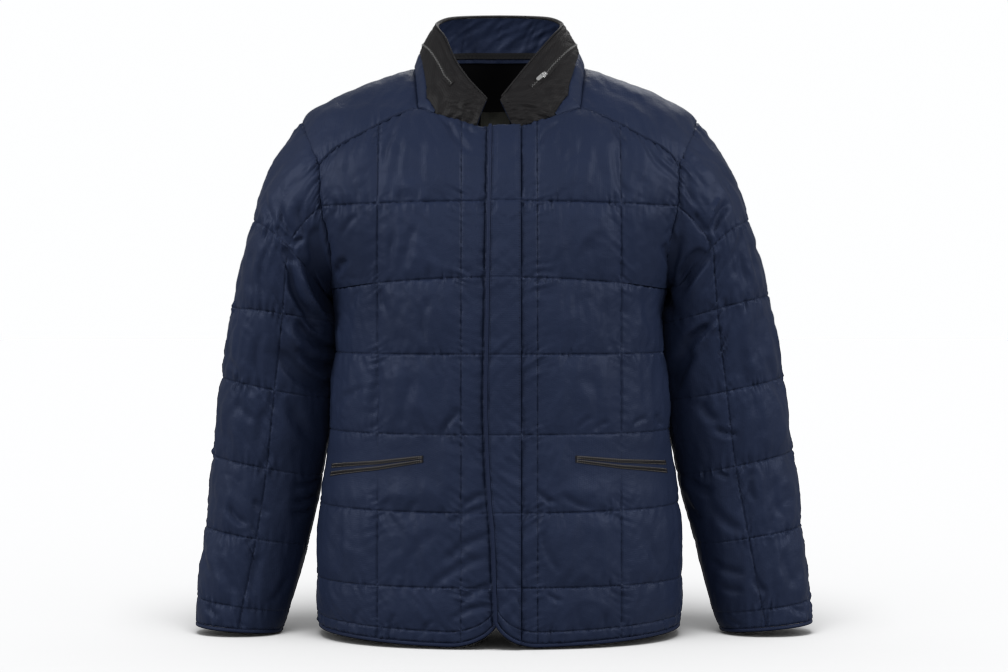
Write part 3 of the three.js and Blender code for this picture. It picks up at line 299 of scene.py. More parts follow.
ROW_CELL, ROW_SHARE = row_table(LINES["steps"])
ARMPIT = int(np.argmax(ROW_CELL == 2))


def line_z(k, x, z, top, corner):
    safe = np.maximum(k, 0)
    level = lerp(LINES["centre"][safe], LINES["side"][safe], (x / ring_half(z)) ** 2)
    if corner:
        level = level + np.where(k >= len(LINES["steps"]) - 2, corner_rise(corner, x), 0)
    return np.where(k < 0, top(x), level)


def settle(place, top, corner):
    """Height and place across of each row's point in one column."""
    z = np.full(len(ROW_CELL), -250.0)
    for _ in range(8):
        edge = np.where(ROW_CELL < 2, armhole_x(z), ring_half(z))
        x = place(z, edge)
        above = line_z(ROW_CELL - 1, x, z, top, corner)
        below = line_z(ROW_CELL, x, z, top, corner)
        z = lerp(above, below, ROW_SHARE)
    return x, z


class Columns:
    """Columns of a panel: their places, their cells and their numbers in the pattern."""

    def __init__(self):
        self.places = []
        self.cell = []
        self.number = []

    def cells(self, start, end, shares, fines, cell):
        first = len(shares)
        count = math.floor(self.number[-1] + 1) if self.number else 0
        shares = list(shares) + [1]
        for k in range(first):
            for step in range(fines[k]):
                t = step / fines[k]
                if k in (0, first - 1):
                    t = crowd_one(t, -1 if k == 0 else 1)
                share = lerp(shares[k], shares[k + 1], t)
                self.places.append(lambda z, edge, s=share: lerp(start(z), end(z), s))
                self.cell.append(cell)
                self.number.append(count + k + t)

    def outer(self, start, facing, fine, cell):
        count = math.floor(self.number[-1] + 1)
        for step in range(4 * fine + 1):
            share = float(crowd(step / (4 * fine)))

            def place(z, edge, s=share):
                power = RING_POWER if facing < 0 else ring_power(z)
                angle = lerp(ring_angle(start, z, power), ring_angle(edge, z, power), s)
                return edge if s == 1 else ring_half(z) * np.sin(angle) ** (2 / power)

            self.places.append(place)
            self.cell.append(cell)
            self.number.append(count + 4 * share)

    def finish(self):
        self.cell = np.array(self.cell)
        self.number = np.array(self.number)
        return self


def level(value):
    return lambda z: np.full_like(np.asarray(z, float), value)


def front_columns(name):
    """Columns of a front, from its edge to the side seam."""
    flap_line = (lambda z: flap_edge(z) + FLAP_LAP) if name == "right" else level(FLAP_SEAM)
    corner = (NECK_CORNER_FRONT - FRONT_V1) / (FRONT_V2 - FRONT_V1)
    columns = Columns()
    columns.cells(level(0), flap_line, [0, 0.65], [3, 2], -1)
    columns.cells(flap_line, level(FRONT_V1), [0, 0.42], [9, 10], 0)
    columns.cells(level(FRONT_V1), level(FRONT_V2), [0, corner / 2, corner, 0.77], [15, 10, 10, 14], 1)
    columns.outer(FRONT_V2, -1, 14, 2)
    return columns.finish()


def back_columns():
    """Columns of the back's left half, from its middle to the side seam."""
    corner = (NECK_CORNER_BACK - BACK_V1) / (BACK_V2 - BACK_V1)
    columns = Columns()
    columns.cells(level(-BACK_V1), level(BACK_V1), [0.5, 0.75], [8, 13], 0)
    columns.cells(level(BACK_V1), level(BACK_V2), [0, corner / 2, corner, 0.7], [13, 8, 9, 14], 1)
    columns.outer(BACK_V2, 1, 13, 2)
    return columns.finish()


def trunk_grid(columns, facing, side, top, corner):
    """Pattern surface of a front or of half the back."""
    grid = np.zeros((len(ROW_CELL), len(columns.places), 3))
    for j, place in enumerate(columns.places):
        x, z = settle(place, top, corner)
        grid[:, j] = trunk_point(side * x, z, facing)
    return grid


def grid_normals(grid, hint, around=False):
    down = np.gradient(grid, axis=0)
    if around:
        along = np.roll(grid, -1, axis=1) - np.roll(grid, 1, axis=1)
    else:
        along = np.gradient(grid, axis=1)
    normals = unit(np.cross(along, down))
    i, j = grid.shape[0] // 2, grid.shape[1] // 2
    if np.dot(normals[i, j], hint(grid[i, j])) < 0:
        normals = -normals
    return normals


def armhole_normal(point):
    rise = (point[..., 2] - ARMHOLE_MIDDLE_Z) / ARMHOLE_HALF_HEIGHT
    y = point[..., 1] / ARMHOLE_HALF_DEPTH ** 2
    radial = unit(np.stack([np.zeros_like(rise), y, rise / ARMHOLE_HALF_HEIGHT], axis=-1))
    radial[..., 0] = np.sign(point[..., 0]) * ARMHOLE_LEAN * (1 + rise)
    return unit(radial)


def neck_outward(point):
    y = (point[..., 1] - NECK_MIDDLE_Y) / NECK_HALF_DEPTH ** 2
    return unit(np.stack([point[..., 0] / NECK_HALF_WIDTH ** 2, y, np.zeros_like(y)], axis=-1))


def neck_normal(point):
    return unit(neck_outward(point) * 0.8 + np.array([0, 0, 0.6]))


def fade(normals, index, target, axis, steps=5):
    """Turns the normals of an edge to a target and eases the ones beside it."""
    count = normals.shape[axis]
    inward = 1 if index == 0 else -1
    first = index % count
    for k in range(steps):
        here = first + inward * k
        weight = 1 - k / steps
        if axis == 0:
            normals[here] = unit(lerp(normals[here], target, weight))
        else:
            normals[:, here] = unit(lerp(normals[:, here], target, weight))


def fade_neck(normals, grid, span):
    target = normals[0].copy()
    target[span] = neck_normal(grid[0, span])
    fade(normals, 0, target, 0)


def fade_side(normals, grid, index, side):
    """Turns a side's normals to the armhole's, and below the armpit straight out."""
    target = armhole_normal(grid[:, index])
    target[ARMPIT + 1:] = np.array([side, 0, 0])
    fade(normals, index, target, 1, 3)


def arc(grid, axis, around=False):
    """Length along the cloth at each point, across (axis 1) or down (axis 0)."""
    if around:
        grid = np.concatenate([grid, grid[:, :1]], axis=1)
    steps = np.linalg.norm(np.diff(grid, axis=axis), axis=2)
    start = np.zeros((1, steps.shape[1])) if axis == 0 else np.zeros((steps.shape[0], 1))
    return np.concatenate([start, np.cumsum(steps, axis=axis)], axis=axis)


def cut(grid, around=False):
    """Size and area of the flat cloth that a pattern surface is cut from, in metres."""
    s, t = arc(grid, 1, around), arc(grid, 0)
    closed = np.concatenate([grid, grid[:, :1]], axis=1) if around else grid
    one = np.cross(closed[:-1, 1:] - closed[:-1, :-1], closed[1:, :-1] - closed[:-1, :-1])
    two = np.cross(closed[:-1, 1:] - closed[1:, 1:], closed[1:, :-1] - closed[1:, 1:])
    area = (np.linalg.norm(one, axis=2).sum() + np.linalg.norm(two, axis=2).sum()) / 2
    width, length = float(s[:, -1].max()), max(float(t[-1].max()), LEAST_WIDTH)
    area = max(float(min(area, width * length)), LEAST_AREA * width * length)
    return {"flat": (width * MM, length * MM), "area": area * MM * MM}


def strip_cut(path, profile, closed=False):
    """Flat size of a folded strip of cloth that shows round its section."""
    shown = float(run_of(np.array(profile + profile[:1]))[-1]) / 2
    length = float(run_of(np.concatenate([path, path[:1]]) if closed else path)[-1])
    return {"flat": (length * MM, max(shown, LEAST_WIDTH) * MM), "area": length * shown * MM * MM}


def spans(cells):
    """First and last index of the cell round each index."""
    cells = np.asarray(cells)
    edges = [0] + [k for k in range(1, len(cells)) if cells[k] != cells[k - 1]] + [len(cells) - 1]
    start = np.zeros(len(cells), int)
    end = np.zeros(len(cells), int)
    for a, b in zip(edges[:-1], edges[1:]):
        start[a:b + 1] = a
        end[a:b + 1] = b
    for a, b in zip(edges[1:-1], edges[2:]):
        start[a], end[a] = a, b
    return start, end, edges


class Panel:
    """A quilted panel: its pattern surface, its normals and its lengths along the cloth."""

    def __init__(self, grid, normals, row_cell, col_cell, seed, around=False):
        self.grid = grid
        self.normals = normals
        self.seed = seed
        self.s = arc(grid, 1, around)
        self.t = arc(grid, 0)
        if around:
            self.loop = self.s[:, -1:]
            wide = np.concatenate([col_cell, col_cell[:1] + 99])
        else:
            self.loop = None
            wide = col_cell
        row_start, row_end, self.row_edges = spans(row_cell)
        col_start, col_end, self.col_edges = spans(wide)
        self.b0 = self.t - self.t[row_start]
        self.b1 = self.t[row_end] - self.t
        self.a0 = self.s - self.s[:, col_start]
        self.a1 = self.s[:, col_end] - self.s
        if around:
            self.s = self.s[:, :-1]
            self.a0 = self.a0[:, :-1]
            self.a1 = self.a1[:, :-1]
        self.bend_s = self.bend_t = 0
        self.bend_s, self.bend_t = 9 * self.ripple(48, 62, 11), 7 * self.ripple(55, 44, 12)

    def ripple(self, across, along, seed, slant=0.0):
        """Noise over the cloth that closes on itself round a tube."""
        s = self.s + self.bend_s + slant * self.t
        t = (self.t + self.bend_t) / along
        n = noise(s / across, t, self.seed + seed)
        if self.loop is not None:
            weight = smooth(self.s / self.loop, 0.86, 1)
            other = noise((s - self.loop) / across, t, self.seed + seed)
            n = lerp(n, other, weight)
        return n

    def ripples(self, *rows):
        """Sum of ripples, a row each: height, then what ripple takes."""
        return sum(height * self.ripple(*row) for height, *row in rows)

    def creases(self, across, along, seed, slant=0.0):
        """Rounded crowns with sharp valleys between them, from -1 to 0.6."""
        return 1.6 * np.minimum(np.abs(self.ripple(across, along, seed, slant)) * 2.6, 1) ** 0.75 - 1

    def near(self):
        """Distance from each point to the nearest seam across and along."""
        return np.minimum(self.a0, self.a1), np.minimum(self.b0, self.b1)

    def faces(self, height, low=SHELL_OUT):
        """Outer face at a height over the wall, with where each point lies on the cloth."""
        self.outer = self.grid + self.normals * (low + height)[..., None]
        return self.outer, np.stack([self.s, self.t], axis=-1)


PUFF = 4.6
LOFT = 15.0
GROOVE = 1.5
GROOVE_HALF = 1.1
PUCKER_REACH = 10.0
LOWEST = -2.3
FLOOR_EASE = 0.6
FOLD_EASE = 5.0
FRONT_FOLD = 1.7
SLEEVE_FOLD = 2.1
# Ripples: height, size across and along, seed and slant
ROW_PUCKER = 1.9
ROW_PUCKERS = ((1.5, 4.8, 24, 3, 0.15), (0.9, 8, 30, 4, -0.2))
COLUMN_PUCKER = 1.45
COLUMN_PUCKERS = ((1.2, 24, 5, 5), (0.9, 30, 9, 13, 0.5))
DRAPE = ((1.5, 12, 62, 6, 0.1), (1.5, 24, 90, 9, -0.12), (1.2, 44, 36, 7))


def rise(distance, over=LOFT):
    return 1 - np.exp(-np.maximum(distance, 0) / over)


def groove(distance, half=GROOVE_HALF):
    return np.exp(-(distance / half) ** 2)


def quilt(panel, puff=PUFF, pucker=1.0, drape=1.2):
    """Height of the cloth over the wall: cushions, stitched grooves, puckers and ripples."""
    a, b = panel.near()
    cushion = rise(panel.a0) * rise(panel.a1) * rise(panel.b0) * rise(panel.b1)
    height = puff * cushion * (1 + 0.16 * panel.ripple(70, 70, 1))
    patch = pucker * (0.85 + 0.7 * panel.ripple(40, 45, 2))
    reach = PUCKER_REACH * (1 + 0.5 * panel.ripple(24, 60, 10))
    height += ROW_PUCKER * patch * np.exp(-b / reach) * panel.ripples(*ROW_PUCKERS)
    height += COLUMN_PUCKER * patch * np.exp(-a / reach) * panel.ripples(*COLUMN_PUCKERS)
    height += drape * cushion * (panel.ripples(*DRAPE) + 0.5 * panel.creases(30, 60, 14, 0.6))
    height += drape * (0.25 + cushion) * 0.5 * panel.ripple(9, 14, 8, 0.4)
    uneven = 0.8 + 0.7 * panel.ripple(5, 5, 15)
    return height - GROOVE * uneven * groove(np.minimum(a, b))


def settle_height(height):
    """Keeps the cloth clear of the wall's inside, with a smooth floor."""
    over = height - LOWEST
    return LOWEST + (over + np.sqrt(over * over + FLOOR_EASE)) / 2


def edge_ease(panel):
    """From 0 on the panel's outer edges to 1 within it."""
    near = np.minimum(panel.t, panel.t[-1] - panel.t)
    if panel.loop is None:
        s0 = panel.s - panel.s[:, :1]
        near = np.minimum(near, np.minimum(s0, s0[:, -1:] - s0))
    return 1 - np.exp(-near / FOLD_EASE)


def hand_folds(grid, folds):
    """Soft troughs and ridges placed on the front view: ends, width and depth."""
    height = np.zeros(grid.shape[:2])
    x, z = grid[..., 0], grid[..., 2]
    for x0, z0, x1, z1, width, depth in folds:
        length = math.hypot(x1 - x0, z1 - z0)
        ux, uz = (x1 - x0) / length, (z1 - z0) / length
        along = ((x - x0) * ux + (z - z0) * uz) / length
        bend = 0.08 * length * np.sin(math.pi * along)
        across = (x - x0) * -uz + (z - z0) * ux + bend
        taper = smooth(along, -0.12, 0.25) * (1 - smooth(along, 0.7, 1.12))
        d = across / width
        height += depth * (1 - 0.6 * d * d) * np.exp(-0.8 * d * d) * taper
    return height


# Meshes


def strip_faces(fine, coarse):
    """Triangles between two lists of (place, vertex) that run the same way."""
    faces = []
    i = j = 0
    while i < len(fine) - 1 or j < len(coarse) - 1:
        next_i = fine[i + 1][0] if i < len(fine) - 1 else 1e9
        next_j = coarse[j + 1][0] if j < len(coarse) - 1 else 1e9
        if next_i <= next_j:
            faces.append((fine[i][1], coarse[j][1], fine[i + 1][1]))
            i += 1
        else:
            faces.append((fine[i][1], coarse[j][1], coarse[j + 1][1]))
            j += 1
    return faces


def grid_quads(index, around, flip):
    if around:
        index = np.concatenate([index, index[:, :1]], axis=1)
    a, b = index[:-1, :-1], index[:-1, 1:]
    c, d = index[1:, 1:], index[1:, :-1]
    order = (a, d, c, b) if flip else (a, b, c, d)
    return np.stack(order, axis=-1).reshape(-1, 4)


def keep_list(count, step):
    kept = list(range(0, count, step))
    if kept[-1] != count - 1:
        kept.append(count - 1)
    return kept


def make_mesh(name, points, faces, materials, indices=None, uvs=None, sharp=50):
    mesh = bpy.data.meshes.new(name)
    mesh.from_pydata((np.asarray(points) * MM).tolist(), [], faces)
    for material in materials:
        mesh.materials.append(material)
    if indices is not None:
        mesh.polygons.foreach_set("material_index", indices)
    mesh.polygons.foreach_set("use_smooth", [True] * len(mesh.polygons))
    if uvs is not None:
        layer = mesh.uv_layers.new(name="cloth")
        loops = np.zeros(len(mesh.loops), int)
        mesh.loops.foreach_get("vertex_index", loops)
        layer.data.foreach_set("uv", np.asarray(uvs)[loops].ravel())
    mesh.update()
    if sharp:
        mesh.set_sharp_from_angle(angle=math.radians(sharp))
    piece = bpy.data.objects.new(name, mesh)
    bpy.context.scene.collection.objects.link(piece)
    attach(piece, "jacket")
    return piece


def stands_for(piece, name, slot, **sheet):
    """Hides the CAD node that a piece replaces. Its finish and its cut, given as slot and sheet, are not
    used.
    """
    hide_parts(name)


def wall(name, outer, inner_full, materials, row_step=8, col_step=6, around=False, uv=None):
    """Closed wall between a fine outer grid and an inner grid that keeps fewer points."""
    rows, cols = outer.shape[:2]
    keep_r = keep_list(rows, row_step)
    keep_c = list(range(0, cols, col_step)) if around else keep_list(cols, col_step)
    inner = inner_full[np.ix_(keep_r, keep_c)]
    base = rows * cols
    at = np.arange(base).reshape(rows, cols)
    into = base + np.arange(inner.shape[0] * inner.shape[1]).reshape(inner.shape[:2])
    faces = grid_quads(at, around, False).tolist()
    outer_count = len(faces)
    faces += grid_quads(into, around, True).tolist()
    inner_count = len(faces)
    ends_c = keep_c + ([cols] if around else [])

    def wrap(line, count):
        return list(line) + ([line[0]] if count else [])

    for i, k, flip in ((0, 0, False), (rows - 1, -1, True)):
        fine = list(enumerate(wrap(at[i], around)))
        coarse = list(zip(ends_c, wrap(into[k], around)))
        tris = strip_faces(fine, coarse)
        faces += [t[::-1] if flip else t for t in tris]
    if not around:
        for j, k, flip in ((0, 0, True), (cols - 1, -1, False)):
            fine = list(enumerate(at[:, j]))
            coarse = list(zip(keep_r, into[:, k]))
            tris = strip_faces(fine, coarse)
            faces += [t[::-1] if flip else t for t in tris]
    points = np.concatenate([outer.reshape(-1, 3), inner.reshape(-1, 3)])
    i, j = rows // 2, cols // 2
    a, b, c = outer[i, j], outer[i, j + 1], outer[i + 1, j]
    if np.dot(np.cross(b - a, c - a), a - inner_full[i, j]) > 0:
        faces = [tuple(reversed(f)) for f in faces]
    indices = [0] * outer_count + [min(1, len(materials) - 1)] * (inner_count - outer_count)
    indices += [0] * (len(faces) - inner_count)
    if uv is None:
        s, t = arc(outer, 1, around), arc(outer, 0)
        uv = np.stack([s[:, :cols], t], axis=-1)
    uv_inner = uv[np.ix_(keep_r, keep_c)]
    uvs = np.concatenate([uv.reshape(-1, 2), uv_inner.reshape(-1, 2)]) * MM
    return make_mesh(name, points, faces, materials, indices, uvs)


def sweep(name, centres, sides, ups, profile, materials, around=False):
    """Closed strip with one section all along: profile is a loop of (side, up) in millimetres."""
    n, m = len(centres), len(profile)
    points = [centres[k] + sides[k] * a + ups[k] * b for k in range(n) for a, b in profile]
    at = np.arange(n * m).reshape(n, m)
    ring = np.concatenate([at, at[:, :1]], axis=1)
    if around:
        ring = np.concatenate([ring, ring[:1]], axis=0)
    a, b, c, d = ring[:-1, :-1], ring[:-1, 1:], ring[1:, 1:], ring[1:, :-1]
    faces = np.stack([a, b, c, d], axis=-1).reshape(-1, 4).tolist()
    if not around:
        faces.append(list(range(m))[::-1])
        faces.append([(n - 1) * m + k for k in range(m)])
    area = sum(p[0] * q[1] - q[0] * p[1] for p, q in zip(profile, profile[1:] + profile[:1]))
    frame_sign = np.dot(np.cross(sides[0], ups[0]), centres[1] - centres[0])
    if area * frame_sign > 0:
        faces = [f[::-1] for f in faces]
    along = run_of(centres)
    uvs = np.array([(along[k], q * 0.8) for k in range(n) for q in range(m)]) * MM
    return make_mesh(name, points, faces, materials, uvs=uvs, sharp=60)


def rounded(left, right, low, high, radius, steps=3):
    """Loop of a rounded rectangle."""
    loop = []
    for cx, cy, start in ((right - radius, high - radius, 0), (left + radius, high - radius, 90),
                          (left + radius, low + radius, 180), (right - radius, low + radius, 270)):
        for k in range(steps + 1):
            angle = math.radians(start + 90 * k / steps)
            loop.append((cx + radius * math.cos(angle), cy + radius * math.sin(angle)))
    return loop


# Materials


def material(name, colour, rough, build=None, metallic=0.0, sheen=0.0, sheen_tint=None, spec=0.5,
             shine=(1, 1, 1)):
    made = bpy.data.materials.new(name)
    made.use_nodes = True
    tree = made.node_tree
    shader = tree.nodes["Principled BSDF"]
    shader.inputs["Base Color"].default_value = (*colour, 1)
    shader.inputs["Roughness"].default_value = rough
    shader.inputs["Metallic"].default_value = metallic
    shader.inputs["Specular IOR Level"].default_value = spec
    shader.inputs["Specular Tint"].default_value = (*shine, 1)
    if sheen:
        shader.inputs["Sheen Weight"].default_value = sheen
        shader.inputs["Sheen Roughness"].default_value = 0.45
        shader.inputs["Sheen Tint"].default_value = (*(sheen_tint or colour), 1)
    if build:
        build(tree, shader, colour)
    return made


def node(tree, kind, **values):
    made = tree.nodes.new(kind)
    for key, value in values.items():
        if hasattr(made, key):
            setattr(made, key, value)
        else:
            made.inputs[key.replace("_", " ")].default_value = value
    return made


def bump(tree, height, strength, distance, below=None):
    made = node(tree, "ShaderNodeBump", Strength=strength, Distance=distance)
    tree.links.new(height, made.inputs["Height"])
    if below is not None:
        tree.links.new(below, made.inputs["Normal"])
    return made.outputs["Normal"]


def woven(weave, tone, crumple, thread=0.00035, spread=0.012):
    """Plain weave by the cloth's own lengths, small creases and slow changes of tone."""

    def build(tree, shader, colour):
        links = tree.links
        uv = node(tree, "ShaderNodeUVMap", uv_map="cloth")
        place = node(tree, "ShaderNodeTexCoord")
        height = node(tree, "ShaderNodeMath", operation="MULTIPLY")
        for k, direction in enumerate("XY"):
            wave = node(tree, "ShaderNodeTexWave", wave_type="BANDS", bands_direction=direction,
                        Scale=1 / (thread * 20), Distortion=0.4)
            links.new(uv.outputs["UV"], wave.inputs["Vector"])
            links.new(wave.outputs["Fac"], height.inputs[k])
        creases = node(tree, "ShaderNodeTexNoise", Scale=1 / spread, Detail=4, Roughness=0.6)
        slow = node(tree, "ShaderNodeTexNoise", Scale=9, Detail=3)
        for pattern in (creases, slow):
            links.new(place.outputs["Object"], pattern.inputs["Vector"])
        normal = bump(tree, height.outputs[0], weave, 0.0002)
        normal = bump(tree, creases.outputs["Fac"], crumple, 0.002, normal)
        links.new(normal, shader.inputs["Normal"])
        ramp = node(tree, "ShaderNodeMapRange", From_Min=0.3, From_Max=0.7, To_Min=1 - tone, To_Max=1 + tone)
        links.new(slow.outputs["Fac"], ramp.inputs["Value"])
        shade = node(tree, "ShaderNodeMix", data_type="RGBA", blend_type="MULTIPLY")
        shade.inputs["Factor"].default_value = 1
        shade.inputs["A"].default_value = (*colour, 1)
        links.new(ramp.outputs["Result"], shade.inputs["B"])
        links.new(shade.outputs["Result"], shader.inputs["Base Color"])

    return build


def brushed(tree, shader, colour):
    place = node(tree, "ShaderNodeTexCoord")
    grain = node(tree, "ShaderNodeTexNoise", Scale=900, Detail=3)
    tree.links.new(place.outputs["Object"], grain.inputs["Vector"])
    ramp = node(tree, "ShaderNodeMapRange", To_Min=0.28, To_Max=0.5)
    tree.links.new(grain.outputs["Fac"], ramp.inputs["Value"])
    tree.links.new(ramp.outputs["Result"], shader.inputs["Roughness"])
    tree.links.new(bump(tree, grain.outputs["Fac"], 0.25, 0.0001), shader.inputs["Normal"])


NAVY = (0.0136, 0.0203, 0.0460)
SHEEN_BLUE = (0.20, 0.26, 0.45)
SHINE_BLUE = (0.60, 0.70, 1.0)
CHARCOAL = (0.0064, 0.0058, 0.0066)
BLACK = (0.0045, 0.0045, 0.0055)
nylon = material("navy_nylon", NAVY, 0.50, woven(0.5, 0.09, 0.5), sheen=0.05, sheen_tint=SHEEN_BLUE,
                 spec=0.18, shine=SHINE_BLUE)
nylon_binding = material("navy_binding", (0.0110, 0.0165, 0.0400), 0.52, woven(0.8, 0.05, 0.2),
                         sheen=0.06, sheen_tint=SHEEN_BLUE, spec=0.2, shine=SHINE_BLUE)
lining = material("black_lining", BLACK, 0.4, woven(0.4, 0.05, 0.3), spec=0.35)
charcoal = material("charcoal_cloth", CHARCOAL, 0.6, woven(0.9, 0.10, 0.30, 0.0005), sheen=0.05,
                    sheen_tint=(0.3, 0.3, 0.3), spec=0.2)
olive = material("olive_facing", (0.0088, 0.0090, 0.0066), 0.8, woven(0.9, 0.08, 0.2, 0.0006), spec=0.2)
tape_black = material("black_tape", BLACK, 0.7, woven(1.0, 0.05, 0.2, 0.0008), spec=0.25)
tape_zip = material("zip_tape_cloth", (0.009, 0.0085, 0.009), 0.75, woven(1.0, 0.05, 0.2, 0.0008),
                    spec=0.25)
metal = material("zip_metal", (0.66, 0.66, 0.66), 0.42, brushed, metallic=1.0)
teeth_metal = material("zip_teeth_metal", (0.46, 0.46, 0.46), 0.42, brushed, metallic=1.0)
twisted = woven(0.8, 0.05, 0.1, 0.0004)
# Thread darker than the cloth: partly the thread's own dark navy, partly painted shade of the stitch holes
# and puckers along the seams.
stitch_thread_with_painted_shade = material("navy_thread", (0.0030, 0.0042, 0.0095), 0.6, twisted, spec=0.2)
thread_tan = material("tan_thread", (0.30, 0.28, 0.26), 0.6, twisted, spec=0.3)
thread_grey = material("grey_thread", (0.0250, 0.0235, 0.0225), 0.6, twisted, spec=0.3)

# Trunk

# Each fold: start x and z, end x and z, half width and depth, seen from the front or the back.
FRONT_FOLDS = {
    "right": [
        (-161, -76, -202, -118, 4.2, -1.6), (-177, -86, -197, -108, 3.6, -1.3),
        (-119, -76, -133, -115, 4.2, -1.5), (-139, -72, -146, -96, 3.6, -1),
        (-70, -60, -57, -73, 3.6, -2), (-62, -65, -33, -104, 4.8, -2.6),
        (-52, -62, -23, -86, 4.2, -1.4), (-165, -176, -181, -199, 3.6, -1.4),
        (-177, -226, -188, -244, 6, -4.5), (-185, -230, -181, -247, 3.6, 1.5),
        (-164, -264, -167, -286, 3.6, -1.4), (-136, -262, -130, -288, 3.6, -1.2),
        (-95, -186, -105, -238, 6, -1.2), (-119, -194, -124, -240, 4.8, -1),
        (-79, -271, -86, -324, 6, -1.3), (-110, -276, -116, -334, 6, -1.1),
        (-170, -382, -185, -404, 4.2, -2), (-153, -377, -173, -388, 3.6, -1.6),
        (-46, -403, -68, -434, 4.2, -2.4), (-57, -401, -46, -403, 3.6, -1.4),
        (-95, -362, -110, -430, 7.2, -1.3), (-136, -360, -143, -430, 6, -1.2),
        (-15, -496, -47, -520, 4.8, -2), (-16, -514, -59, -535, 4.8, -1.8),
        (-14, -547, -65, -578, 6, -2.2), (-14, -570, -81, -610, 6, -1.8),
        (-9, -602, -45, -624, 4.8, -2.2), (-7, -626, -57, -643, 4.8, -1.6),
        (-124, -504, -136, -530, 4.8, -1.2), (-95, -506, -105, -530, 4.8, -1.2),
        (-179, -540, -187, -588, 6, -1.3), (-71, -540, -110, -588, 7.2, -1.2),
        (-119, -636, -124, -662, 3.6, -1.3), (-161, -634, -167, -660, 3.6, -1.3),
        (-76, -643, -91, -667, 3.6, -1.3),
    ],
    "left": [
        (134, -73, 148, -91, 4.2, -2), (164, -82, 212, -139, 4.8, -1.6),
        (178, -91, 207, -120, 3.6, -1.2), (64, -72, 45, -98, 3.6, -1.6), (73, -67, 59, -84, 3.6, -1.3),
        (191, -208, 199, -230, 5.4, -4.5), (202, -190, 191, -199, 3.6, -1.4),
        (140, -230, 145, -257, 3.6, -1.2), (133, -96, 147, -156, 4.8, -1), (103, -204, 97, -240, 6, -1),
        (169, -264, 181, -324, 6, -1.1), (121, -276, 128, -330, 6, -1),
        (182, -410, 188, -425, 4.2, -2.4), (169, -413, 154, -422, 3.6, -1.6),
        (125, -415, 109, -427, 3.6, -1.4), (104, -410, 89, -425, 3.6, -1.3),
        (135, -440, 147, -451, 3.6, -1.6), (80, -442, 92, -451, 4.2, -1.8),
        (73, -451, 87, -460, 3.6, -1.4), (44, -494, 64, -509, 4.2, -2.2),
        (73, -499, 109, -516, 4.8, -1.2), (50, -540, 68, -588, 4.8, -1.4),
        (55, -612, 73, -622, 3.6, -1.2), (133, -516, 121, -530, 3.6, -1.2),
        (91, -626, 97, -660, 4.8, -1.2), (169, -540, 183, -588, 6, -1.4),
        (202, -552, 209, -600, 4.8, -1.6), (121, -636, 125, -665, 3.6, -1.2),
    ],
}
BACK_FOLDS = [
    (-188, -228, -150, -262, 7, -4), (190, -224, 154, -256, 7, -4.2), (-150, -110, -110, -150, 6, -1.6),
    (146, -104, 102, -148, 6, -1.8), (-60, -10, -40, -60, 6, -1.4), (66, -12, 38, -70, 6, -1.5),
    (-20, -150, 14, -196, 7, -1.3), (30, -260, -24, -300, 7, -1.5), (-160, -350, -118, -392, 8, -1.8),
    (158, -340, 112, -388, 8, -1.7), (-40, -420, 10, -452, 8, -1.5), (90, -430, 40, -470, 7, -1.4),
    (-110, -520, -60, -556, 8, -1.6), (130, -512, 84, -560, 8, -1.7), (-180, -470, -150, -515, 7, -1.5),
    (176, -560, 150, -606, 7, -1.5), (-30, -600, -6, -640, 6, -1.3), (64, -596, 50, -640, 6, -1.2),
]


UNDER_FLAP = 0.15
AT_POCKET = 0.08


def front_panel(name):
    side = -1 if name == "right" else 1
    columns = front_columns(name)
    grid = trunk_grid(columns, -1, side, front_top, CORNER[name])
    seam = grid.copy()
    normals = grid_normals(grid, level_out)
    corner = int(np.argmin(np.abs(columns.number - 6)))
    fade_neck(normals, grid, slice(corner + 1))
    fade_side(normals, grid, -1, side)
    grid[:, 0, 0] += side * SEAM_GAP / 2
    grid[ARMPIT:, -1, 1] -= SEAM_GAP / 2
    panel = Panel(grid, normals, ROW_CELL, columns.cell, 10 if side < 0 else 30)
    height = quilt(panel)
    height[:, columns.cell == -1] *= UNDER_FLAP
    pocket = POCKETS[name]
    span = (columns.number - pocket["tip"]) / (pocket["side"] - pocket["tip"])
    mouth = lerp(pocket["tip_z"], pocket["side_z"], np.clip(span, 0, 1))
    near = smooth(np.abs(grid[..., 2] - mouth[None, :]), 12, 42)
    beside = smooth(np.abs(span - 0.5), 0.5, 0.75)[None, :]
    flat = np.maximum(near, beside)
    height *= lerp(AT_POCKET, 1, flat)
    folds = FRONT_FOLD * hand_folds(grid, FRONT_FOLDS[name]) * flat * edge_ease(panel)
    panel.columns = columns
    panel.seam = seam
    panel.corner = corner
    panel.side = side
    panel.name = name
    outer, uv = panel.faces(settle_height(height + folds))
    piece = wall(f"visual_front_{name}", outer, grid - normals * SHELL_IN, [nylon, lining], uv=uv)
    stands_for(piece, f"front_{name}", "navy_nylon")
    return panel


def back_panel():
    half = back_columns()
    left = trunk_grid(half, 1, 1, back_top, None)
    right = trunk_grid(half, 1, -1, back_top, None)
    grid = np.concatenate([right[:, :0:-1], left], axis=1)
    seam = grid.copy()
    cell = np.concatenate([half.cell[:0:-1] + 10, half.cell])
    cell[cell == 10] = 0
    centre = grid.shape[1] // 2
    reach = int(np.argmin(np.abs(half.number - 4)))
    normals = grid_normals(grid, level_out)
    fade_neck(normals, grid, slice(centre - reach, centre + reach + 1))
    for index, side in ((0, -1), (-1, 1)):
        fade_side(normals, grid, index, side)
        grid[ARMPIT:, index, 1] += SEAM_GAP / 2
    panel = Panel(grid, normals, ROW_CELL, cell, 50)
    panel.s = panel.s - panel.s[:, centre:centre + 1]
    panel.seam = seam
    panel.centre = centre
    panel.reach = reach
    folds = hand_folds(grid, BACK_FOLDS) * edge_ease(panel)
    outer, uv = panel.faces(settle_height(quilt(panel) + folds))
    piece = wall("visual_back", outer, grid - normals * SHELL_IN, [nylon, lining], uv=uv)
    stands_for(piece, "back", "navy_nylon")
    return panel


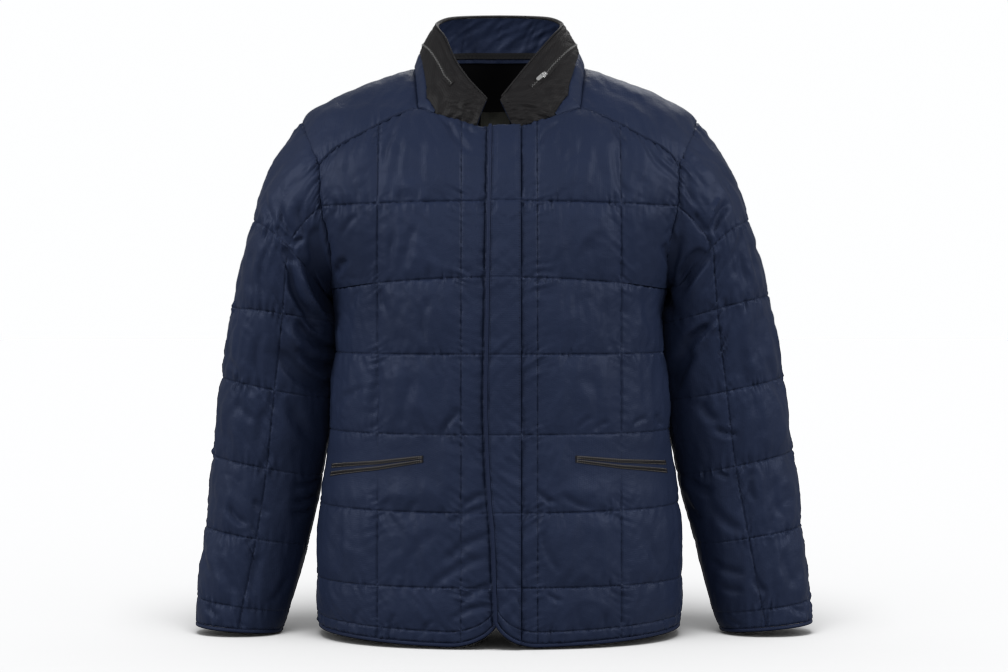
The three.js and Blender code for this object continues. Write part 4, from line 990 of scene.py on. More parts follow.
def ridge_z(x):
    """Height at which the trunk is as wide as the shoulder's ridge."""
    low, high = np.full_like(x, SHOULDER_Z), np.zeros_like(x)
    for _ in range(40):
        middle = (low + high) / 2
        wide = ring_half(middle) > x
        low = np.where(wide, middle, low)
        high = np.where(wide, high, middle)
    return (low + high) / 2


YOKE_ROWS = 4 * FINE


def yoke_seams(front, back):
    """The yoke's front and back seams with as many points each, and the points' places."""
    place = front.columns.number[front.corner:] - front.columns.number[front.corner]
    share = place / place[-1]
    corner = back.centre + front.side * back.reach
    back_seam = back.seam[0, corner:] if front.side > 0 else back.seam[0, corner::-1]
    numbers = half_numbers[back.reach:] - half_numbers[back.reach]
    return front.seam[0, front.corner:], at_place(share, numbers / numbers[-1], back_seam), share


def yoke_grid(side, front_seam, back_seam, share):
    """From the front seam over the shoulder's ridge to the back seam."""
    x = lerp(ring_half(0), SHOULDER_X, share)
    z = ridge_z(x)
    z[-1] = SHOULDER_Z
    ridge = np.stack([side * x, np.zeros_like(x), z], axis=-1)
    grid = np.zeros((2 * YOKE_ROWS + 1, len(share), 3))
    for i in range(2 * YOKE_ROWS + 1):
        facing, seam = (-1, front_seam) if i <= YOKE_ROWS else (1, back_seam)
        away = float(crowd(abs(i - YOKE_ROWS) / YOKE_ROWS))
        drop = 1 - math.cos(away * math.pi / 2)
        zz = lerp(ridge[:, 2], seam[:, 2], drop)
        xx = np.abs(lerp(ridge[:, 0], seam[:, 0], drop))
        xx[-1] = armhole_x(zz[-1])
        grid[i] = trunk_point(side * xx, zz, facing)
    grid[0], grid[YOKE_ROWS], grid[-1] = front_seam, ridge, back_seam
    return grid


def yoke_panel(front, back):
    grid = yoke_grid(front.side, *yoke_seams(front, back))
    seam_line = grid.copy()
    normals = grid_normals(grid, lambda p: np.array([0, 0, 1]))
    fade(normals, 0, neck_normal(grid[:, 0]), 1, 4)
    fade(normals, -1, armhole_normal(grid[:, -1]), 1, 3)
    ends = front.normals[0, front.corner:].copy()
    ends[0], ends[-1] = normals[0, 0], normals[0, -1]
    fade(normals, 0, ends, 0, 3)
    for index, inward in ((0, 1), (-1, -2)):
        step = unit(grid[inward] - grid[index])
        grid[index] = grid[index] + step * SEAM_GAP
    panel = Panel(grid, normals, np.zeros(len(grid)), np.zeros(grid.shape[1]), 70 + front.side)
    a, b = panel.near()
    height = 1.8 * rise(b, 9) * rise(a, 9) + panel.ripples((1.1, 30, 20, 6, 0.3), (0.6, 13, 26, 8, 0.5))
    height += 1.5 * np.exp(-b / 12) * panel.ripple(4.8, 30, 3, 0.2)
    height += 1.2 * np.exp(-a / 11) * panel.ripple(28, 4.8, 5)
    panel.seam = seam_line
    outer, uv = panel.faces(settle_height(height - GROOVE * groove(np.minimum(a, b))))
    piece = wall(f"visual_yoke_{front.name}", outer, grid - normals * SHELL_IN, [nylon, lining], row_step=4,
                 uv=uv)
    stands_for(piece, f"yoke_{front.name}", "navy_nylon", **cut(grid), held="stretched",
               rests_on=["back", f"front_{front.name}"])
    return panel


# Sleeves

SLEEVE_FOLDS = {
    "right": [
        (-217, -194, -194, -266, 8.4, -9), (-238, -230, -208, -305, 4.2, 4.2),
        (-247, -238, -224, -298, 5.4, -5), (-225, -230, -199, -298, 7.2, -6.5),
        (-232, -290, -218, -312, 4.2, -3.5), (-261, -190, -241, -209, 4.2, -3.6),
        (-253, -215, -241, -230, 4.2, -3.4), (-230, -202, -242, -212, 3.6, -2.6),
        (-256, -163, -241, -202, 4.8, -2.2), (-233, -162, -226, -204, 4.8, -2),
        (-273, -151, -262, -187, 4.8, -1.4), (-285, -216, -290, -274, 6, -1.4),
        (-269, -211, -278, -276, 4.8, -1.3), (-242, -299, -202, -338, 6, -5),
        (-253, -305, -218, -348, 5.4, 3.2), (-260, -336, -206, -386, 9.6, -6.5),
        (-239, -330, -201, -362, 8.4, -5), (-278, -312, -285, -362, 6, -1.2),
        (-311, -396, -290, -420, 6, -1.4), (-321, -330, -311, -362, 6, -1.3),
        (-322, -522, -301, -544, 5.4, -2.6), (-292, -514, -275, -530, 4.8, -2.2),
        (-249, -516, -220, -511, 4.2, -2), (-251, -530, -223, -526, 4.2, -1.8),
        (-244, -497, -218, -494, 4.2, -1.8), (-275, -401, -285, -456, 7.2, -1.5),
        (-251, -398, -225, -444, 8.4, -2.4), (-329, -588, -314, -624, 6, -1.3),
        (-285, -578, -292, -624, 6, -1.4), (-352, -564, -343, -606, 4.8, -1.3),
        (-275, -636, -256, -606, 4.8, -1.4), (-347, -641, -333, -653, 3.6, -1.6),
        (-311, -658, -297, -667, 3.6, -1.2),
    ],
    "left": [
        (206, -204, 207, -290, 8.4, -9), (248, -221, 221, -264, 6.6, -6.5),
        (237, -216, 212, -250, 6, -5), (255, -216, 229, -271, 4.8, 3.4),
        (265, -163, 250, -196, 4.8, -3.4), (257, -156, 245, -187, 3.6, 2),
        (229, -173, 244, -196, 4.2, -2.6), (221, -130, 226, -163, 4.8, -1.6),
        (284, -194, 291, -259, 5.4, -1.8), (273, -216, 280, -252, 4.8, -1.5),
        (303, -204, 308, -252, 4.8, -1.2), (250, -305, 221, -343, 7.2, -5.5),
        (260, -302, 233, -336, 4.8, 3), (231, -338, 212, -382, 8.4, -6),
        (241, -312, 226, -324, 4.8, -2.2), (257, -428, 284, -436, 4.8, -2.2),
        (261, -480, 273, -487, 3.6, -1.6), (289, -336, 296, -390, 7.2, -1.3),
        (313, -312, 322, -372, 7.2, -1.2), (241, -396, 260, -420, 6, -2),
        (229, -492, 255, -506, 6, -2.6), (221, -506, 241, -540, 6, -2.2),
        (325, -492, 334, -534, 6, -1.3), (298, -480, 303, -516, 4.8, -1.2),
        (255, -522, 289, -552, 7.2, -1.6), (255, -588, 293, -602, 5.4, -1.8),
        (303, -607, 317, -624, 4.8, -2), (265, -617, 291, -622, 4.8, -1.6),
        (337, -576, 349, -618, 6, -1.4), (346, -641, 365, -650, 3.6, -1.4),
        (274, -655, 291, -665, 3.6, -1.2),
    ],
}
SLEEVE_BACK_FOLDS = {
    "right": [
        (-212, -240, -246, -270, 8, -4.5), (-214, -268, -250, -300, 7, -3.5), (-250, -200, -268, -262, 6, -2),
        (-290, -250, -300, -310, 6, -1.5), (-230, -372, -292, -356, 8, -3), (-234, -396, -300, -388, 8, -2.6),
        (-250, -430, -310, -424, 7, -2), (-262, -500, -320, -512, 7, -1.8), (-268, -560, -320, -566, 7, -1.8),
        (-300, -600, -340, -612, 6, -1.4),
    ],
    "left": [
        (212, -236, 250, -262, 8, -4.5), (214, -270, 256, -306, 7, -3.2), (252, -190, 266, -250, 6, -2),
        (300, -240, 306, -300, 6, -1.5), (232, -366, 296, -352, 8, -3), (234, -400, 306, -392, 8, -2.4),
        (256, -440, 320, -430, 7, -2), (268, -506, 330, -520, 7, -1.8), (276, -566, 336, -560, 7, -1.6),
        (306, -606, 350, -618, 6, -1.4),
    ],
}


def fine_loop(front, back, yoke):
    """Armhole from the shoulder's ridge down the front and up the back."""
    edge = yoke.seam[:, -1]
    front_edge = front.seam[1:ARMPIT + 1, -1]
    back_edge = back.seam[1:ARMPIT, -1 if front.side > 0 else 0][::-1]
    return np.concatenate([edge[:YOKE_ROWS + 1][::-1], front_edge, back_edge, edge[YOKE_ROWS + 1:][::-1]])


def sleeve_ring(ring, side, angles):
    cos, sin = np.cos(angles), np.sin(angles)
    across = np.sign(cos) * np.abs(cos) ** (2 / SLEEVE_POWER)
    deep = np.sign(sin) * np.abs(sin) ** (2 / SLEEVE_POWER)
    share = (1 - across) / 2
    x = side * lerp(ring["outerX"], ring["innerX"], share)
    y = ring["y"] - ring["depth"] * deep
    z = lerp(ring["outerZ"], ring["innerZ"], share) + ring["lift"] * sin * sin
    return np.stack([x, y, z], axis=-1)


UNDER_PRESSED = 0.6
BESIDE_BODY = 3.6
ARMPIT_SWELL = 2.2
ARMPIT_Z = -270
ARMPIT_REACH = 16


def armhole_angles(loop):
    """Angle round the sleeve at each point of the armhole: half a turn in front and half behind."""
    half = len(loop) // 2
    lengths = np.linalg.norm(np.roll(loop, -1, axis=0) - loop, axis=1)
    first = np.concatenate([[0], np.cumsum(lengths[:half])])
    second = np.cumsum(lengths[half:])
    return np.concatenate([math.pi * first / first[-1], math.pi * (1 + second[:-1] / second[-1])])


def sleeve_grid(rings, side, loop):
    """Pattern surface of a sleeve from its armhole through its rings, with each row's cell."""
    angles = armhole_angles(loop)
    keys = [key for key in rings if key != "steps"]
    numbered = dict(rings, place=np.arange(len(rings["y"]), dtype=float))
    curves = {key: curve(numbered, "place", key) for key in keys}
    cells, shares = row_table(rings["steps"])
    grid = np.zeros((len(cells), len(loop), 3))
    end = sleeve_ring({key: rings[key][0] for key in keys}, side, angles)
    for i, (cell, share) in enumerate(zip(cells, shares)):
        if cell > 0:
            ring = {key: float(curves[key](cell - 1 + share)) for key in keys}
            grid[i] = sleeve_ring(ring, side, angles)
        else:
            swell = CAP_SWELL * math.sin(math.pi * share) * (1 + np.cos(angles)) / 2
            grid[i] = lerp(loop, end, share) + swell[:, None] * np.array([side * 0.8, 0, 0.6])
    return grid, cells


def sleeve_height(panel, name, under):
    """Quilting and folds, pressed flat under the arm and fuller beside the body."""
    y, z = panel.grid[..., 1], panel.grid[..., 2]
    height = quilt(panel, puff=PUFF * 1.05, pucker=1.3, drape=1.5)
    height *= (1 - UNDER_PRESSED * smooth(under, 0.6, 0.95))[None, :]
    beside_body = smooth(z, -470, -430) * smooth(-z, 222, 252)
    swell = BESIDE_BODY + ARMPIT_SWELL * groove(z - ARMPIT_Z, ARMPIT_REACH)
    height += swell * smooth(under, 0.45, 0.8)[None, :] * beside_body
    ahead = smooth(-(y - 16), -10, 25)
    ease = edge_ease(panel)
    height += SLEEVE_FOLD * hand_folds(panel.grid, SLEEVE_FOLDS[name]) * ahead * ease
    height += hand_folds(panel.grid, SLEEVE_BACK_FOLDS[name]) * (1 - ahead) * ease
    return settle_height(height)


def sleeve_piece(name, side, front, back, yoke):
    loop = fine_loop(front, back, yoke)
    grid, cells = sleeve_grid(SLEEVES[name], side, loop)
    centre = grid[len(grid) // 2].mean(axis=0)
    normals = grid_normals(grid, lambda p: p - centre, around=True)
    fade(normals, 0, armhole_normal(loop), 0, 4)
    grid[0] = grid[0] + unit(grid[1] - grid[0]) * SEAM_GAP
    turn = SLEEVE_SEAMS[-1]
    column = np.arange(len(loop)) * turn / len(loop)
    cell_of = np.searchsorted(SLEEVE_SEAMS, column, side="right")
    panel = Panel(grid, normals, cells, cell_of, 90 + 20 * side, around=True)
    outer, uv = panel.faces(sleeve_height(panel, name, 1 - np.abs(column - turn / 2) / (turn / 2)))
    inner = grid - normals * SHELL_IN
    piece = wall(f"visual_sleeve_{name}", outer, inner, [nylon, lining], around=True, uv=uv)
    stands_for(piece, f"sleeve_{name}", "navy_nylon")
    beyond = unit(grid[-1] - grid[-3])
    section = rounded(SEAM_GAP, SEAM_GAP + BINDING_WIDTH, -1.6, 2.7, 1.5)
    band = sweep(f"visual_cuff_{name}", grid[-1][::2], beyond[::2], normals[-1][::2], section,
                 [nylon_binding], around=True)
    stands_for(band, f"cuff_binding_{name}", "navy_binding", **strip_cut(grid[-1], section, True),
               held="folded", rests_on=[piece.name])
    return panel


half_numbers = back_columns().number
front_right = front_panel("right")
front_left = front_panel("left")
back = back_panel()
yoke_right = yoke_panel(front_right, back)
yoke_left = yoke_panel(front_left, back)
sleeve_right = sleeve_piece("right", -1, front_right, back, yoke_right)
sleeve_left = sleeve_piece("left", 1, front_left, back, yoke_left)

# Edges and flap


def beyond_edge(edge, normals, inside):
    """Direction in the cloth that leads away from it, at each point of its edge."""
    beyond = unit(np.cross(unit(np.gradient(edge, axis=0)), normals))
    beyond[np.sum(beyond * (inside - edge), axis=1) > 0] *= -1
    return beyond


def hem_binding(name, panel):
    edge = panel.grid[-1][::2]
    normals = panel.normals[-1][::2]
    beyond = beyond_edge(edge, normals, panel.grid[-4][::2])
    section = rounded(SEAM_GAP, SEAM_GAP + BINDING_WIDTH, -1.4, 2.3, 1.4)
    piece = sweep(f"visual_hem_{name}", edge, beyond, normals, section, [nylon_binding])
    stands_for(piece, f"hem_binding_{name}", "navy_binding", **strip_cut(edge, section), held="folded",
               rests_on=["back"])


hem_binding("right", front_right)
hem_binding("left", front_left)
hem_binding("back", back)


def placket():
    """Storm flap and the binding round its free edge and foot."""
    shares = np.linspace(0, 1, 17)
    grid = np.zeros((len(ROW_CELL), len(shares), 3))
    for j, share in enumerate(shares):
        x, z = settle(lambda z, edge, s=share: lerp(FLAP_BINDING - flap_edge(z), FLAP_SEAM, s),
                      front_top, CORNER["left"])
        grid[:, j] = trunk_point(x, z, -1)
    normals = grid_normals(grid, level_out)
    panel = Panel(grid, normals, np.zeros(len(ROW_CELL)), np.zeros(len(shares)), 130)
    a, _ = panel.near()
    row_start, row_end, _ = spans(ROW_CELL)
    b = np.minimum(panel.t - panel.t[row_start], panel.t[row_end] - panel.t)
    low_down = smooth(-grid[..., 2], 360, 480)
    height = 1.5 * rise(a, 4) * (1 - 0.5 * np.exp(-b / 5))
    lower = 0.9 * panel.ripple(8, 24, 3, -0.9) + 0.8 * panel.creases(19, 40, 9, -0.7)
    upper = 0.6 * panel.ripple(9, 26, 4, 1.1) + 0.5 * panel.creases(20, 46, 10, 0.8)
    height += (0.3 + 0.7 * low_down) * lower + (1 - low_down) * upper
    height += 0.9 * panel.ripple(16, 30, 5, 0.5) + 0.9 * np.exp(-b / 8) * panel.ripple(4.6, 24, 7)
    height -= 0.8 * groove(a - 3.4) + 0.7 * groove(b)
    outer, uv = panel.faces(height, FLAP_LIFT + FLAP_THICK)
    piece = wall("visual_placket", outer, grid + normals * FLAP_LIFT, [nylon], 4, 4, uv=uv)
    stands_for(piece, "placket", "navy_nylon", **cut(grid), held="stretched",
               rests_on=["visual_front_left", "visual_front_right"])

    def round_corner(field, column, row):
        """Down the flap's free edge, or beside it, and along its foot."""
        return np.concatenate([field[:, column], field[row, 1:]])[::2]

    path, path_normals = round_corner(grid, 0, -1), round_corner(normals, 0, -1)
    beyond = beyond_edge(path, path_normals, round_corner(grid, 4, -4))
    section = rounded(SEAM_GAP, FLAP_BINDING - SEAM_GAP, FLAP_LIFT, FLAP_LIFT + FLAP_THICK + 1.4, 1.7)
    edge = sweep("visual_placket_binding", path, beyond, path_normals, section, [nylon_binding])
    stands_for(edge, "placket_binding", "navy_binding", **strip_cut(path, section), held="folded",
               rests_on=["visual_placket"])
    return panel


flap = placket()


def neck_facing():
    """Piece behind the flap that shows between the collar's fronts."""
    z = np.linspace(-112, -52, 20)
    x = np.linspace(-22, 12, 14)
    grid = trunk_point(x[None, :], z[:, None], -1)
    normals = grid_normals(grid, level_out)
    ripples = 0.5 * noise(grid[..., 0] / 8, grid[..., 2] / 20, 3)
    outer = grid - normals * (4 - ripples)[..., None]
    inner = grid - normals * 5.8
    piece = wall("visual_under_placket", outer, inner, [olive], 3, 3)
    stands_for(piece, "under_placket", "olive_facing", **cut(grid), held="stretched",
               rests_on=["visual_front_left"])


neck_facing()

# Collar


COLLAR_STITCH = 6.0
LEAST_HEIGHT = -1.2
EDGE_ROWS = 40
# Creases over the collar's front ends: depth, distance from its foot, width and slant
COLLAR_FOLDS = [(1.3, 9, 1.6, 0.18), (0.9, 20, 1.8, -0.1), (0.8, 30, 1.5, 0.25)]


class Cloth:
    """A visible face and its normals, with lines at a distance from its edges."""

    def __init__(self, outer, normals):
        self.outer, self.normals = outer, normals

    def beside(self, edge, distance, first=0, last=None):
        """Points and normals along one edge: top, bottom, left or right of the grid."""
        across = edge in ("left", "right")
        points = np.swapaxes(self.outer, 0, 1) if across else self.outer
        normals = np.swapaxes(self.normals, 0, 1) if across else self.normals
        if edge in ("bottom", "right"):
            points, normals = points[::-1], normals[::-1]
        points, normals = points[:EDGE_ROWS, first:last], normals[:EDGE_ROWS, first:last]
        run = arc(points, 0)
        columns = range(points.shape[1])
        line = np.array([at_place(distance, run[:, j], points[:, j]) for j in columns])
        out = np.array([at_place(distance, run[:, j], normals[:, j]) for j in columns])
        return line, unit(out)


class Collar:
    def __init__(self):
        r, l = front_right.columns.number, front_left.columns.number
        r3 = int(np.argmin(np.abs(r - 3)))
        l1 = int(np.argmin(np.abs(l - 1)))
        self.loop = np.concatenate([
            front_right.seam[0, r3:front_right.corner],
            yoke_right.seam[:, 0],
            back.seam[0, back.centre - back.reach + 1:back.centre + back.reach],
            yoke_left.seam[::-1, 0],
            front_left.seam[0, l1:front_left.corner][::-1]])
        behind = self.loop[:, 1] > 0
        centre = int(np.argmin(np.where(behind, np.abs(self.loop[:, 0]), 1e9)))
        steps = run_of(self.loop)
        away = steps - steps[centre]
        self.places = np.where(away < 0, away / -away[0], away / away[-1])
        along = np.abs(self.places)
        x = np.where(self.places < 0, -curve(COLLAR_TOP, "along", "right")(along),
                     curve(COLLAR_TOP, "along", "left")(along))
        self.tops = np.stack([x, curve(COLLAR_TOP, "along", "y")(along),
                              curve(COLLAR_TOP, "along", "z")(along)], axis=-1)
        normal = neck_normal(self.loop)
        up = self.tops - self.loop
        up = unit(up - normal * np.sum(up * normal, axis=1, keepdims=True))
        self.starts = self.loop + up * SEAM_GAP
        self.outward = neck_outward(self.starts)
        self.split = stand_share(np.minimum(along, STAND_END))

    def grid(self, heights):
        """Points for an array of heights, one row of columns for each row."""
        v = np.asarray(heights)[..., None]
        return lerp(self.starts, self.tops, v) + self.outward * (COLLAR_BULGE * 4 * v * (1 - v))

    def layer(self, heights, first=0, last=None):
        grid = self.grid(heights)
        normals = grid_normals(grid, neck_outward)
        if heights[0].max() == 0:
            fade(normals, 0, neck_normal(self.loop), 0, 3)
        return grid[:, first:last], normals[:, first:last]

    def strip(self, low, high, rows, first=0, last=None):
        """Layer between two shares of the collar's height."""
        return self.layer(np.linspace(low, high, rows)[:, None] * np.ones((1, len(self.split))), first, last)


collar = Collar()


def span_of(mask):
    index = np.nonzero(mask)[0]
    return int(index[0]), int(index[-1]) + 1


def lengths(grid):
    """Lengths along and down a grid, and the distance to its upper or lower edge."""
    s, t = arc(grid, 1), arc(grid, 0)
    return s, t, np.minimum(t, t[-1] - t)


def collar_stand():
    along = np.abs(collar.places)
    first, last = span_of(along <= STAND_END)
    heights = np.linspace(0, 1, 18)[:, None] * (collar.split - STAND_SEAM)[None, :]
    grid, normals = collar.layer(heights, first, last)
    s, t, edge = lengths(grid)
    height = 0.9 * rise(edge, 5) + 1.0 * noise(s / 6, t / 22, 21) * np.exp(-edge / 9)
    height += 0.8 * noise(s / 16, t / 14, 22) - 0.7 * groove(edge, 1.6)
    taper = smooth(t[-1] / 10, 0.2, 1)
    outer = grid + normals * (COLLAR_OUT + height * taper)[..., None]
    piece = wall("visual_collar_stand", outer, grid - normals * COLLAR_IN, [nylon], 4, 3)
    stands_for(piece, "collar_stand", "navy_nylon", **cut(grid), held="stretched", rests_on=["back"])


def collar_upper():
    along = np.abs(collar.places)
    low = np.where(along <= STAND_END, collar.split + STAND_SEAM, 0)
    grid, normals = collar.layer(lerp(low[None, :], 1, np.linspace(0, 1, 30)[:, None]))
    s, t, edge = lengths(grid)
    ends = np.minimum(s, s[:, -1:] - s)
    tips = smooth(along, 0.6, 1)[None, :]
    height = 0.7 * rise(np.minimum(edge, ends), 4)
    height += (1.1 + 1.6 * tips) * noise(s / 7, t / 20, 23) * np.exp(-np.minimum(t, 60) / 22)
    height += 0.5 * noise(s / 18, t / 12, 24) + tips * 2.2 * noise((s + t) / 8, (s - t) / 22, 25)
    for depth, run, across, turn in COLLAR_FOLDS:
        fold = groove(t - run - turn * ends, across)
        height -= depth * tips * fold * smooth(ends, 3, 9) * (1 - smooth(ends, 34, 52))
    for away in (t[-1] - t, ends):
        height -= 0.8 * groove(away - COLLAR_STITCH)
    outer = grid + normals * (COLLAR_OUT + np.maximum(height, LEAST_HEIGHT))[..., None]
    piece = wall("visual_collar_upper", outer, grid - normals * COLLAR_IN, [charcoal], 4, 3)
    stands_for(piece, "collar_upper", "charcoal_cloth", **cut(grid), held="stretched",
               rests_on=["visual_collar_stand"])
    return Cloth(outer, normals)


def collar_facing():
    grid, normals = collar.strip(0, 1, 34)
    s, t, edge = lengths(grid)
    gather = noise((s + 0.5 * t) / 7, t / 34, 26) * 2.0 + noise((s - 0.4 * t) / 13, t / 24, 27) * 1.8
    height = np.clip(gather * rise(edge, 5) - 0.3, -0.9, 2.4)
    face = grid - normals * (FACING_BACK + height)[..., None]
    piece = wall("visual_collar_facing", face, grid - normals * FACING_FACE, [nylon], 6, 3)
    stands_for(piece, "collar_facing", "navy_nylon", **cut(grid), held="gathered",
               rests_on=["visual_collar_upper"])


def collar_binding(normals):
    ups = unit(collar.tops - collar.grid(np.full(len(collar.split), 0.8)))
    section = rounded(SEAM_GAP, SEAM_GAP + COLLAR_BINDING, -3.5, 1.7, 1.1)
    edge = sweep("visual_collar_binding", collar.tops[::2], ups[::2], normals[::2], section, [charcoal])
    stands_for(edge, "collar_binding", "charcoal_cloth", **strip_cut(collar.tops, section), held="folded",
               rests_on=["visual_collar_upper"])


def neck_tape():
    grid, normals = collar.strip(0.06, 0.2, 6, *span_of(np.abs(collar.places) < 0.5))
    face = FACING_BACK + 0.9
    piece = wall("visual_neck_tape", grid - normals * (face + 0.8), grid - normals * face, [tape_black], 5, 3)
    stands_for(piece, "neck_tape", "black_tape", **cut(grid), held="stretched",
               rests_on=["visual_collar_facing"])


collar_stand()
upper = collar_upper()
collar_facing()
collar_binding(upper.normals[-1])
neck_tape()


TAPE_THICK = 0.9
TOOTH_PITCH = 2.0
TOOTH = (0.42, 0.9, 0.6)
TOOTH_LIFT = 1.35
TOOTH_SHIFT = 0.4
TOOTH_TIP = 0.75
CORNERS = ((-1, -1), (1, -1), (1, 1), (-1, 1))
BOX_FACES = ((0, 3, 2, 1), (4, 5, 6, 7), (0, 1, 5, 4), (1, 2, 6, 5), (2, 3, 7, 6), (3, 0, 4, 7))


def zip_line():
    """Tape of the collar zip and its teeth in two rows."""
    first, last = span_of((collar.places >= ZIP["first"]) & (collar.places <= ZIP["last"]))
    middle = curve(ZIP_HEIGHT, "along", "share")(np.minimum(np.abs(collar.places), ZIP["last"]))
    heights = middle[None, :] + np.linspace(-ZIP["half"], ZIP["half"], 9)[:, None]
    grid, normals = collar.layer(heights, first, last)
    base = COLLAR_OUT + SEAM_GAP
    outer = grid + normals * (base + TAPE_THICK)
    piece = wall("visual_zip_tape", outer, grid + normals * base, [tape_zip], 4, 3)
    stands_for(piece, "zip_tape", "zip_tape", **cut(grid), held="stretched", rests_on=["visual_collar_upper"])
    line, up, out = grid[4], unit(grid[5] - grid[3]), normals[4]
    steps = run_of(line)
    points, faces = [], []
    for number, place in enumerate(np.arange(1.0, steps[-1] - 1.0, TOOTH_PITCH)):
        u, n = unit(at_place(place, steps, up)), unit(at_place(place, steps, out))
        along = unit(np.cross(u, n))
        shift = TOOTH_SHIFT if number % 2 else -TOOTH_SHIFT
        centre = at_place(place, steps, line) + u * shift + n * (base + TOOTH_LIFT)
        faces += [[len(points) + k for k in face] for face in BOX_FACES]
        for c, narrow in ((-1, 1), (1, TOOTH_TIP)):
            for a, b in CORNERS:
                flat = along * a * TOOTH[0] * narrow + u * b * TOOTH[1] * narrow
                points.append(centre + flat + n * c * TOOTH[2])
    piece = make_mesh("visual_zip_teeth", points, faces, [teeth_metal], sharp=30)


zip_line()

# Pockets


def on_panel(panel, column, z, lift):
    """Point over a panel's outer face, at a place across it and a height."""
    number = panel.columns.number
    place = np.interp(column, number, np.arange(len(number)))
    j = min(int(place), len(number) - 2)
    f = place - j
    line = lerp(panel.outer[:, j], panel.outer[:, j + 1], f)
    normal = lerp(panel.normals[:, j], panel.normals[:, j + 1], f)
    return at_place(-z, -line[:, 2], line) + unit(at_place(-z, -line[:, 2], normal)) * lift


# Each value at the pocket's inner tip and at its side end
SLIT = (0.8, 4.6)
WELT_WIDTH = (3.6, 5.1)
WELT_CROWN = 1.5
WELT_FOOT = 0.25
WELT_STEPS = 60
welt_faces = []


def welts(panel):
    """A pocket's upper and lower welt, each side of its slit."""
    pocket = POCKETS[panel.name]
    columns = np.linspace(pocket["tip"], pocket["side"], WELT_STEPS)
    for place, up in (("upper", 1), ("lower", -1)):
        outer = np.zeros((9, WELT_STEPS, 3))
        inner = np.zeros_like(outer)
        for j, column in enumerate(columns):
            share = j / (WELT_STEPS - 1)
            mouth = lerp(pocket["tip_z"], pocket["side_z"], share)
            slit, width = lerp(*SLIT, share) / 2, lerp(*WELT_WIDTH, share)
            closing = min(1, share * 14, (1 - share) * 14)
            for i in range(9):
                e = i / 8
                crown = WELT_CROWN * (1 - abs(2 * e - 1) ** 3) * closing
                crown += 0.15 * noise(j * 0.4, i * 0.3, 5 + up) - 0.35 * groove((e - 0.72) * width, 0.7)
                z = mouth + up * (slit + e * width)
                outer[i, j] = on_panel(panel, column, z, 0.5 + max(crown, 0.2))
                inner[i, j] = on_panel(panel, column, z, WELT_FOOT)
        away = unit(outer[4:5, 30:31] - inner[4:5, 30:31])
        welt_faces.append(Cloth(outer, np.broadcast_to(away, outer.shape)))
        piece = wall(f"visual_welt_{place}_{panel.name}", outer, inner, [charcoal], 4, 4)
        stands_for(piece, f"welt_{place}_{panel.name}", "charcoal_cloth", **cut(inner), held="folded",
                   rests_on=[f"visual_front_{panel.name}"])


welts(front_right)
welts(front_left)

# Stitches


STITCH_LIFT = 0.1
STITCH_SINK = 0.25


class Stitches:
    """Stitches along lines, each a spindle that dips into the cloth at its ends."""

    def __init__(self, name, thread, slot, length=2.2, pitch=3.3, radius=0.36):
        self.name, self.thread, self.slot = name, thread, slot
        self.length, self.pitch, self.radius = length, pitch, radius
        self.points, self.faces = [], []

    def run(self, line, normals):
        steps = run_of(line)
        for place in np.arange(self.pitch, steps[-1] - self.pitch, self.pitch):
            ends = [at_place(place + e * self.length / 2, steps, line) for e in (-1, 1)]
            n = unit(at_place(place, steps, normals))
            middle = (ends[0] + ends[1]) / 2 + n * STITCH_LIFT
            side = unit(np.cross(n, ends[1] - ends[0]))
            start = len(self.points)
            self.points += [end - n * STITCH_SINK for end in ends]
            self.points += [middle + side * self.radius, middle + n * self.radius,
                            middle - side * self.radius, middle - n * self.radius]
            for a, b in ((2, 3), (3, 4), (4, 5), (5, 2)):
                self.faces.append([start, start + a, start + b])
                self.faces.append([start + 1, start + b, start + a])

    def build(self):
        piece = make_mesh(self.name, self.points, self.faces, [self.thread], sharp=0)


TOPSTITCH = 3.6
HEM_STITCH = 2.0
FLAP_STITCH = 1.6
WELT_STITCH = 0.9
sleeves = (sleeve_right, sleeve_left)
fronts = (front_right, front_left)
# Seam stitches in the dark thread, whose colour holds painted seam shade as well as the thread's own navy.
tonal = Stitches("visual_stitches", stitch_thread_with_painted_shade, "navy_nylon")
for panel in (*fronts, back, *sleeves):
    for i in panel.row_edges[1:-1]:
        tonal.run(panel.outer[i], panel.normals[i])
    for j in panel.col_edges[1:-1]:
        j = j % panel.outer.shape[1]
        tonal.run(panel.outer[:, j], panel.normals[:, j])
tonal.build()
edging = Stitches("visual_topstitches", stitch_thread_with_painted_shade, "navy_nylon")
armhole = (TOPSTITCH, 0, ARMPIT)
for panels, edges in (
        (fronts, {"right": armhole, "bottom": (HEM_STITCH,)}),
        ((back,), {"left": armhole, "right": armhole, "bottom": (HEM_STITCH,)}),
        ((yoke_right, yoke_left), {"right": (TOPSTITCH,), "top": (HEM_STITCH,), "bottom": (HEM_STITCH,)}),
        (sleeves, {"top": (TOPSTITCH,), "bottom": (HEM_STITCH,)}),
        ((flap,), dict.fromkeys(("left", "right", "bottom"), (FLAP_STITCH,)))):
    for panel in panels:
        for edge, where in edges.items():
            edging.run(*Cloth(panel.outer, panel.normals).beside(edge, *where))
edging.build()
grey = Stitches("visual_grey_stitches", thread_grey, "charcoal_cloth", length=2.0, pitch=2.9, radius=0.24)
for edge in ("bottom", "left", "right"):
    grey.run(*upper.beside(edge, COLLAR_STITCH))
grey.build()
tan = Stitches("visual_welt_stitches", thread_tan, "charcoal_cloth", length=2.1, pitch=2.7, radius=0.42)
for face in welt_faces:
    for edge in ("top", "bottom"):
        tan.run(*face.beside(edge, WELT_STITCH))
tan.build()

# Metal parts that stay

for name in ("zip_slider", "zip_pull"):
    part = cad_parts[name]
    part.data.materials.clear()
    part.data.materials.append(metal)

# Stage and light

FLOOR_Z = -0.677
FLOOR_HALF = 12.0
FLOOR_WHITE = 0.5
SKY_SEEN = 1.0
SKY_LIGHT = 0.3


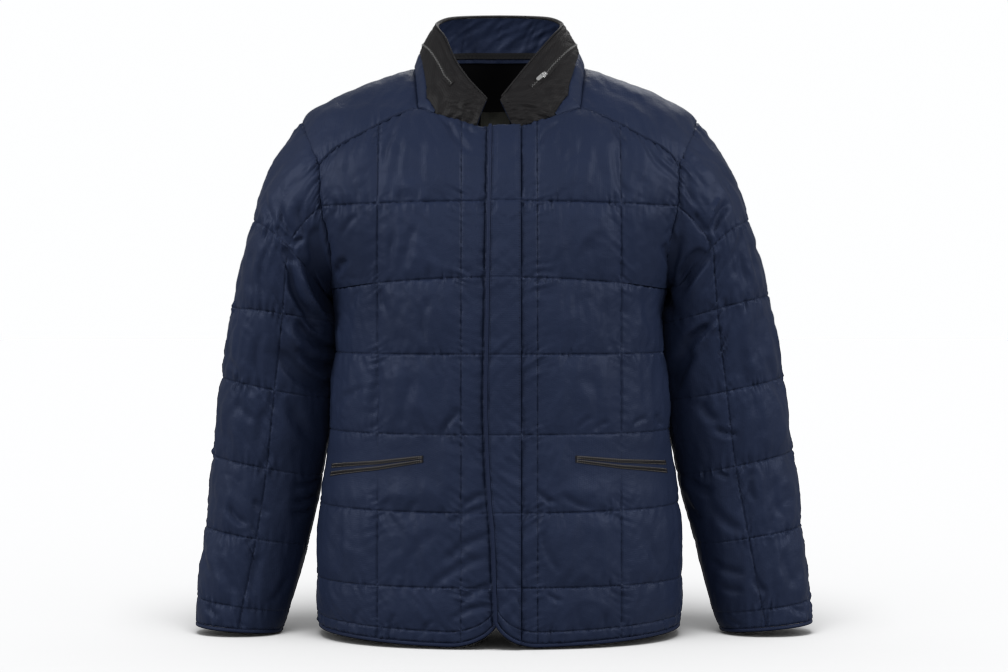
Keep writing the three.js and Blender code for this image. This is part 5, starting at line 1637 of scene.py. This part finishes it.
def stage():
    """Pale floor that shows the soft shadows alone, under a plain white surround."""
    paper = material("paper", (FLOOR_WHITE,) * 3, 0.9, spec=0.1)
    mesh = bpy.data.meshes.new("floor")
    corners = [(x * FLOOR_HALF, y * FLOOR_HALF, FLOOR_Z) for x, y in ((-1, -1), (1, -1), (1, 1), (-1, 1))]
    mesh.from_pydata(corners, [], [(0, 1, 2, 3)])
    mesh.materials.append(paper)
    floor = bpy.data.objects.new("floor", mesh)
    floor.is_shadow_catcher = True
    bpy.context.scene.collection.objects.link(floor)
    groups = []
    for name, state in (("all_but_floor", "EXCLUDE"), ("floor_only", "INCLUDE")):
        group = bpy.data.collections.new(name)
        group.objects.link(floor)
        group.collection_objects[0].light_linking.link_state = state
        groups.append(group)
    return groups


def surround():
    """White to the eye, and dimmer as a light, so that the lamps give the shape."""
    world = bpy.data.worlds.new("world")
    bpy.context.scene.world = world
    world.use_nodes = True
    tree = world.node_tree
    sky = tree.nodes["Background"]
    sky.inputs["Color"].default_value = (0.99, 0.995, 1.0, 1)
    path = node(tree, "ShaderNodeLightPath")
    strength = node(tree, "ShaderNodeMapRange", To_Min=SKY_LIGHT, To_Max=SKY_SEEN)
    tree.links.new(path.outputs["Is Camera Ray"], strength.inputs["Value"])
    tree.links.new(strength.outputs["Result"], sky.inputs["Strength"])


def light(name, location, target, size, power, receivers):
    data = bpy.data.lights.new(name, "AREA")
    data.shape = "RECTANGLE"
    data.size, data.size_y = size
    data.energy = power
    made = bpy.data.objects.new(name, data)
    made.location = location
    direction = Vector(target) - Vector(location)
    made.rotation_euler = direction.to_track_quat("-Z", "Y").to_euler()
    bpy.context.scene.collection.objects.link(made)
    made.light_linking.receiver_collection = receivers


all_but_floor, floor_only = stage()
surround()
for name, location, target, size, power in (
        ("key", (-2.4, -1.7, 1.5), (0, 0, -0.15), (0.9, 0.9), 46),
        ("fill", (2.5, -1.7, 1.4), (0, 0, -0.15), (0.9, 0.9), 42),
        ("front", (0, -3.4, 1.2), (0, 0, -0.1), (1.4, 0.8), 20),
        ("right_side", (-2.7, -0.9, 1.0), (-0.3, 0, -0.2), (0.9, 0.9), 24),
        ("left_side", (2.7, -0.9, 1.0), (0.3, 0, -0.2), (0.9, 0.9), 24),
        ("behind", (0.4, 2.4, 1.8), (0, 0, -0.3), (2.0, 1.2), 30)):
    light(name, location, target, size, power, all_but_floor)
light("above", (0, -0.9, 2.4), (0, 0, FLOOR_Z), (1.6, 1.6), 50, floor_only)
bpy.context.scene.view_settings.view_transform = "Standard"
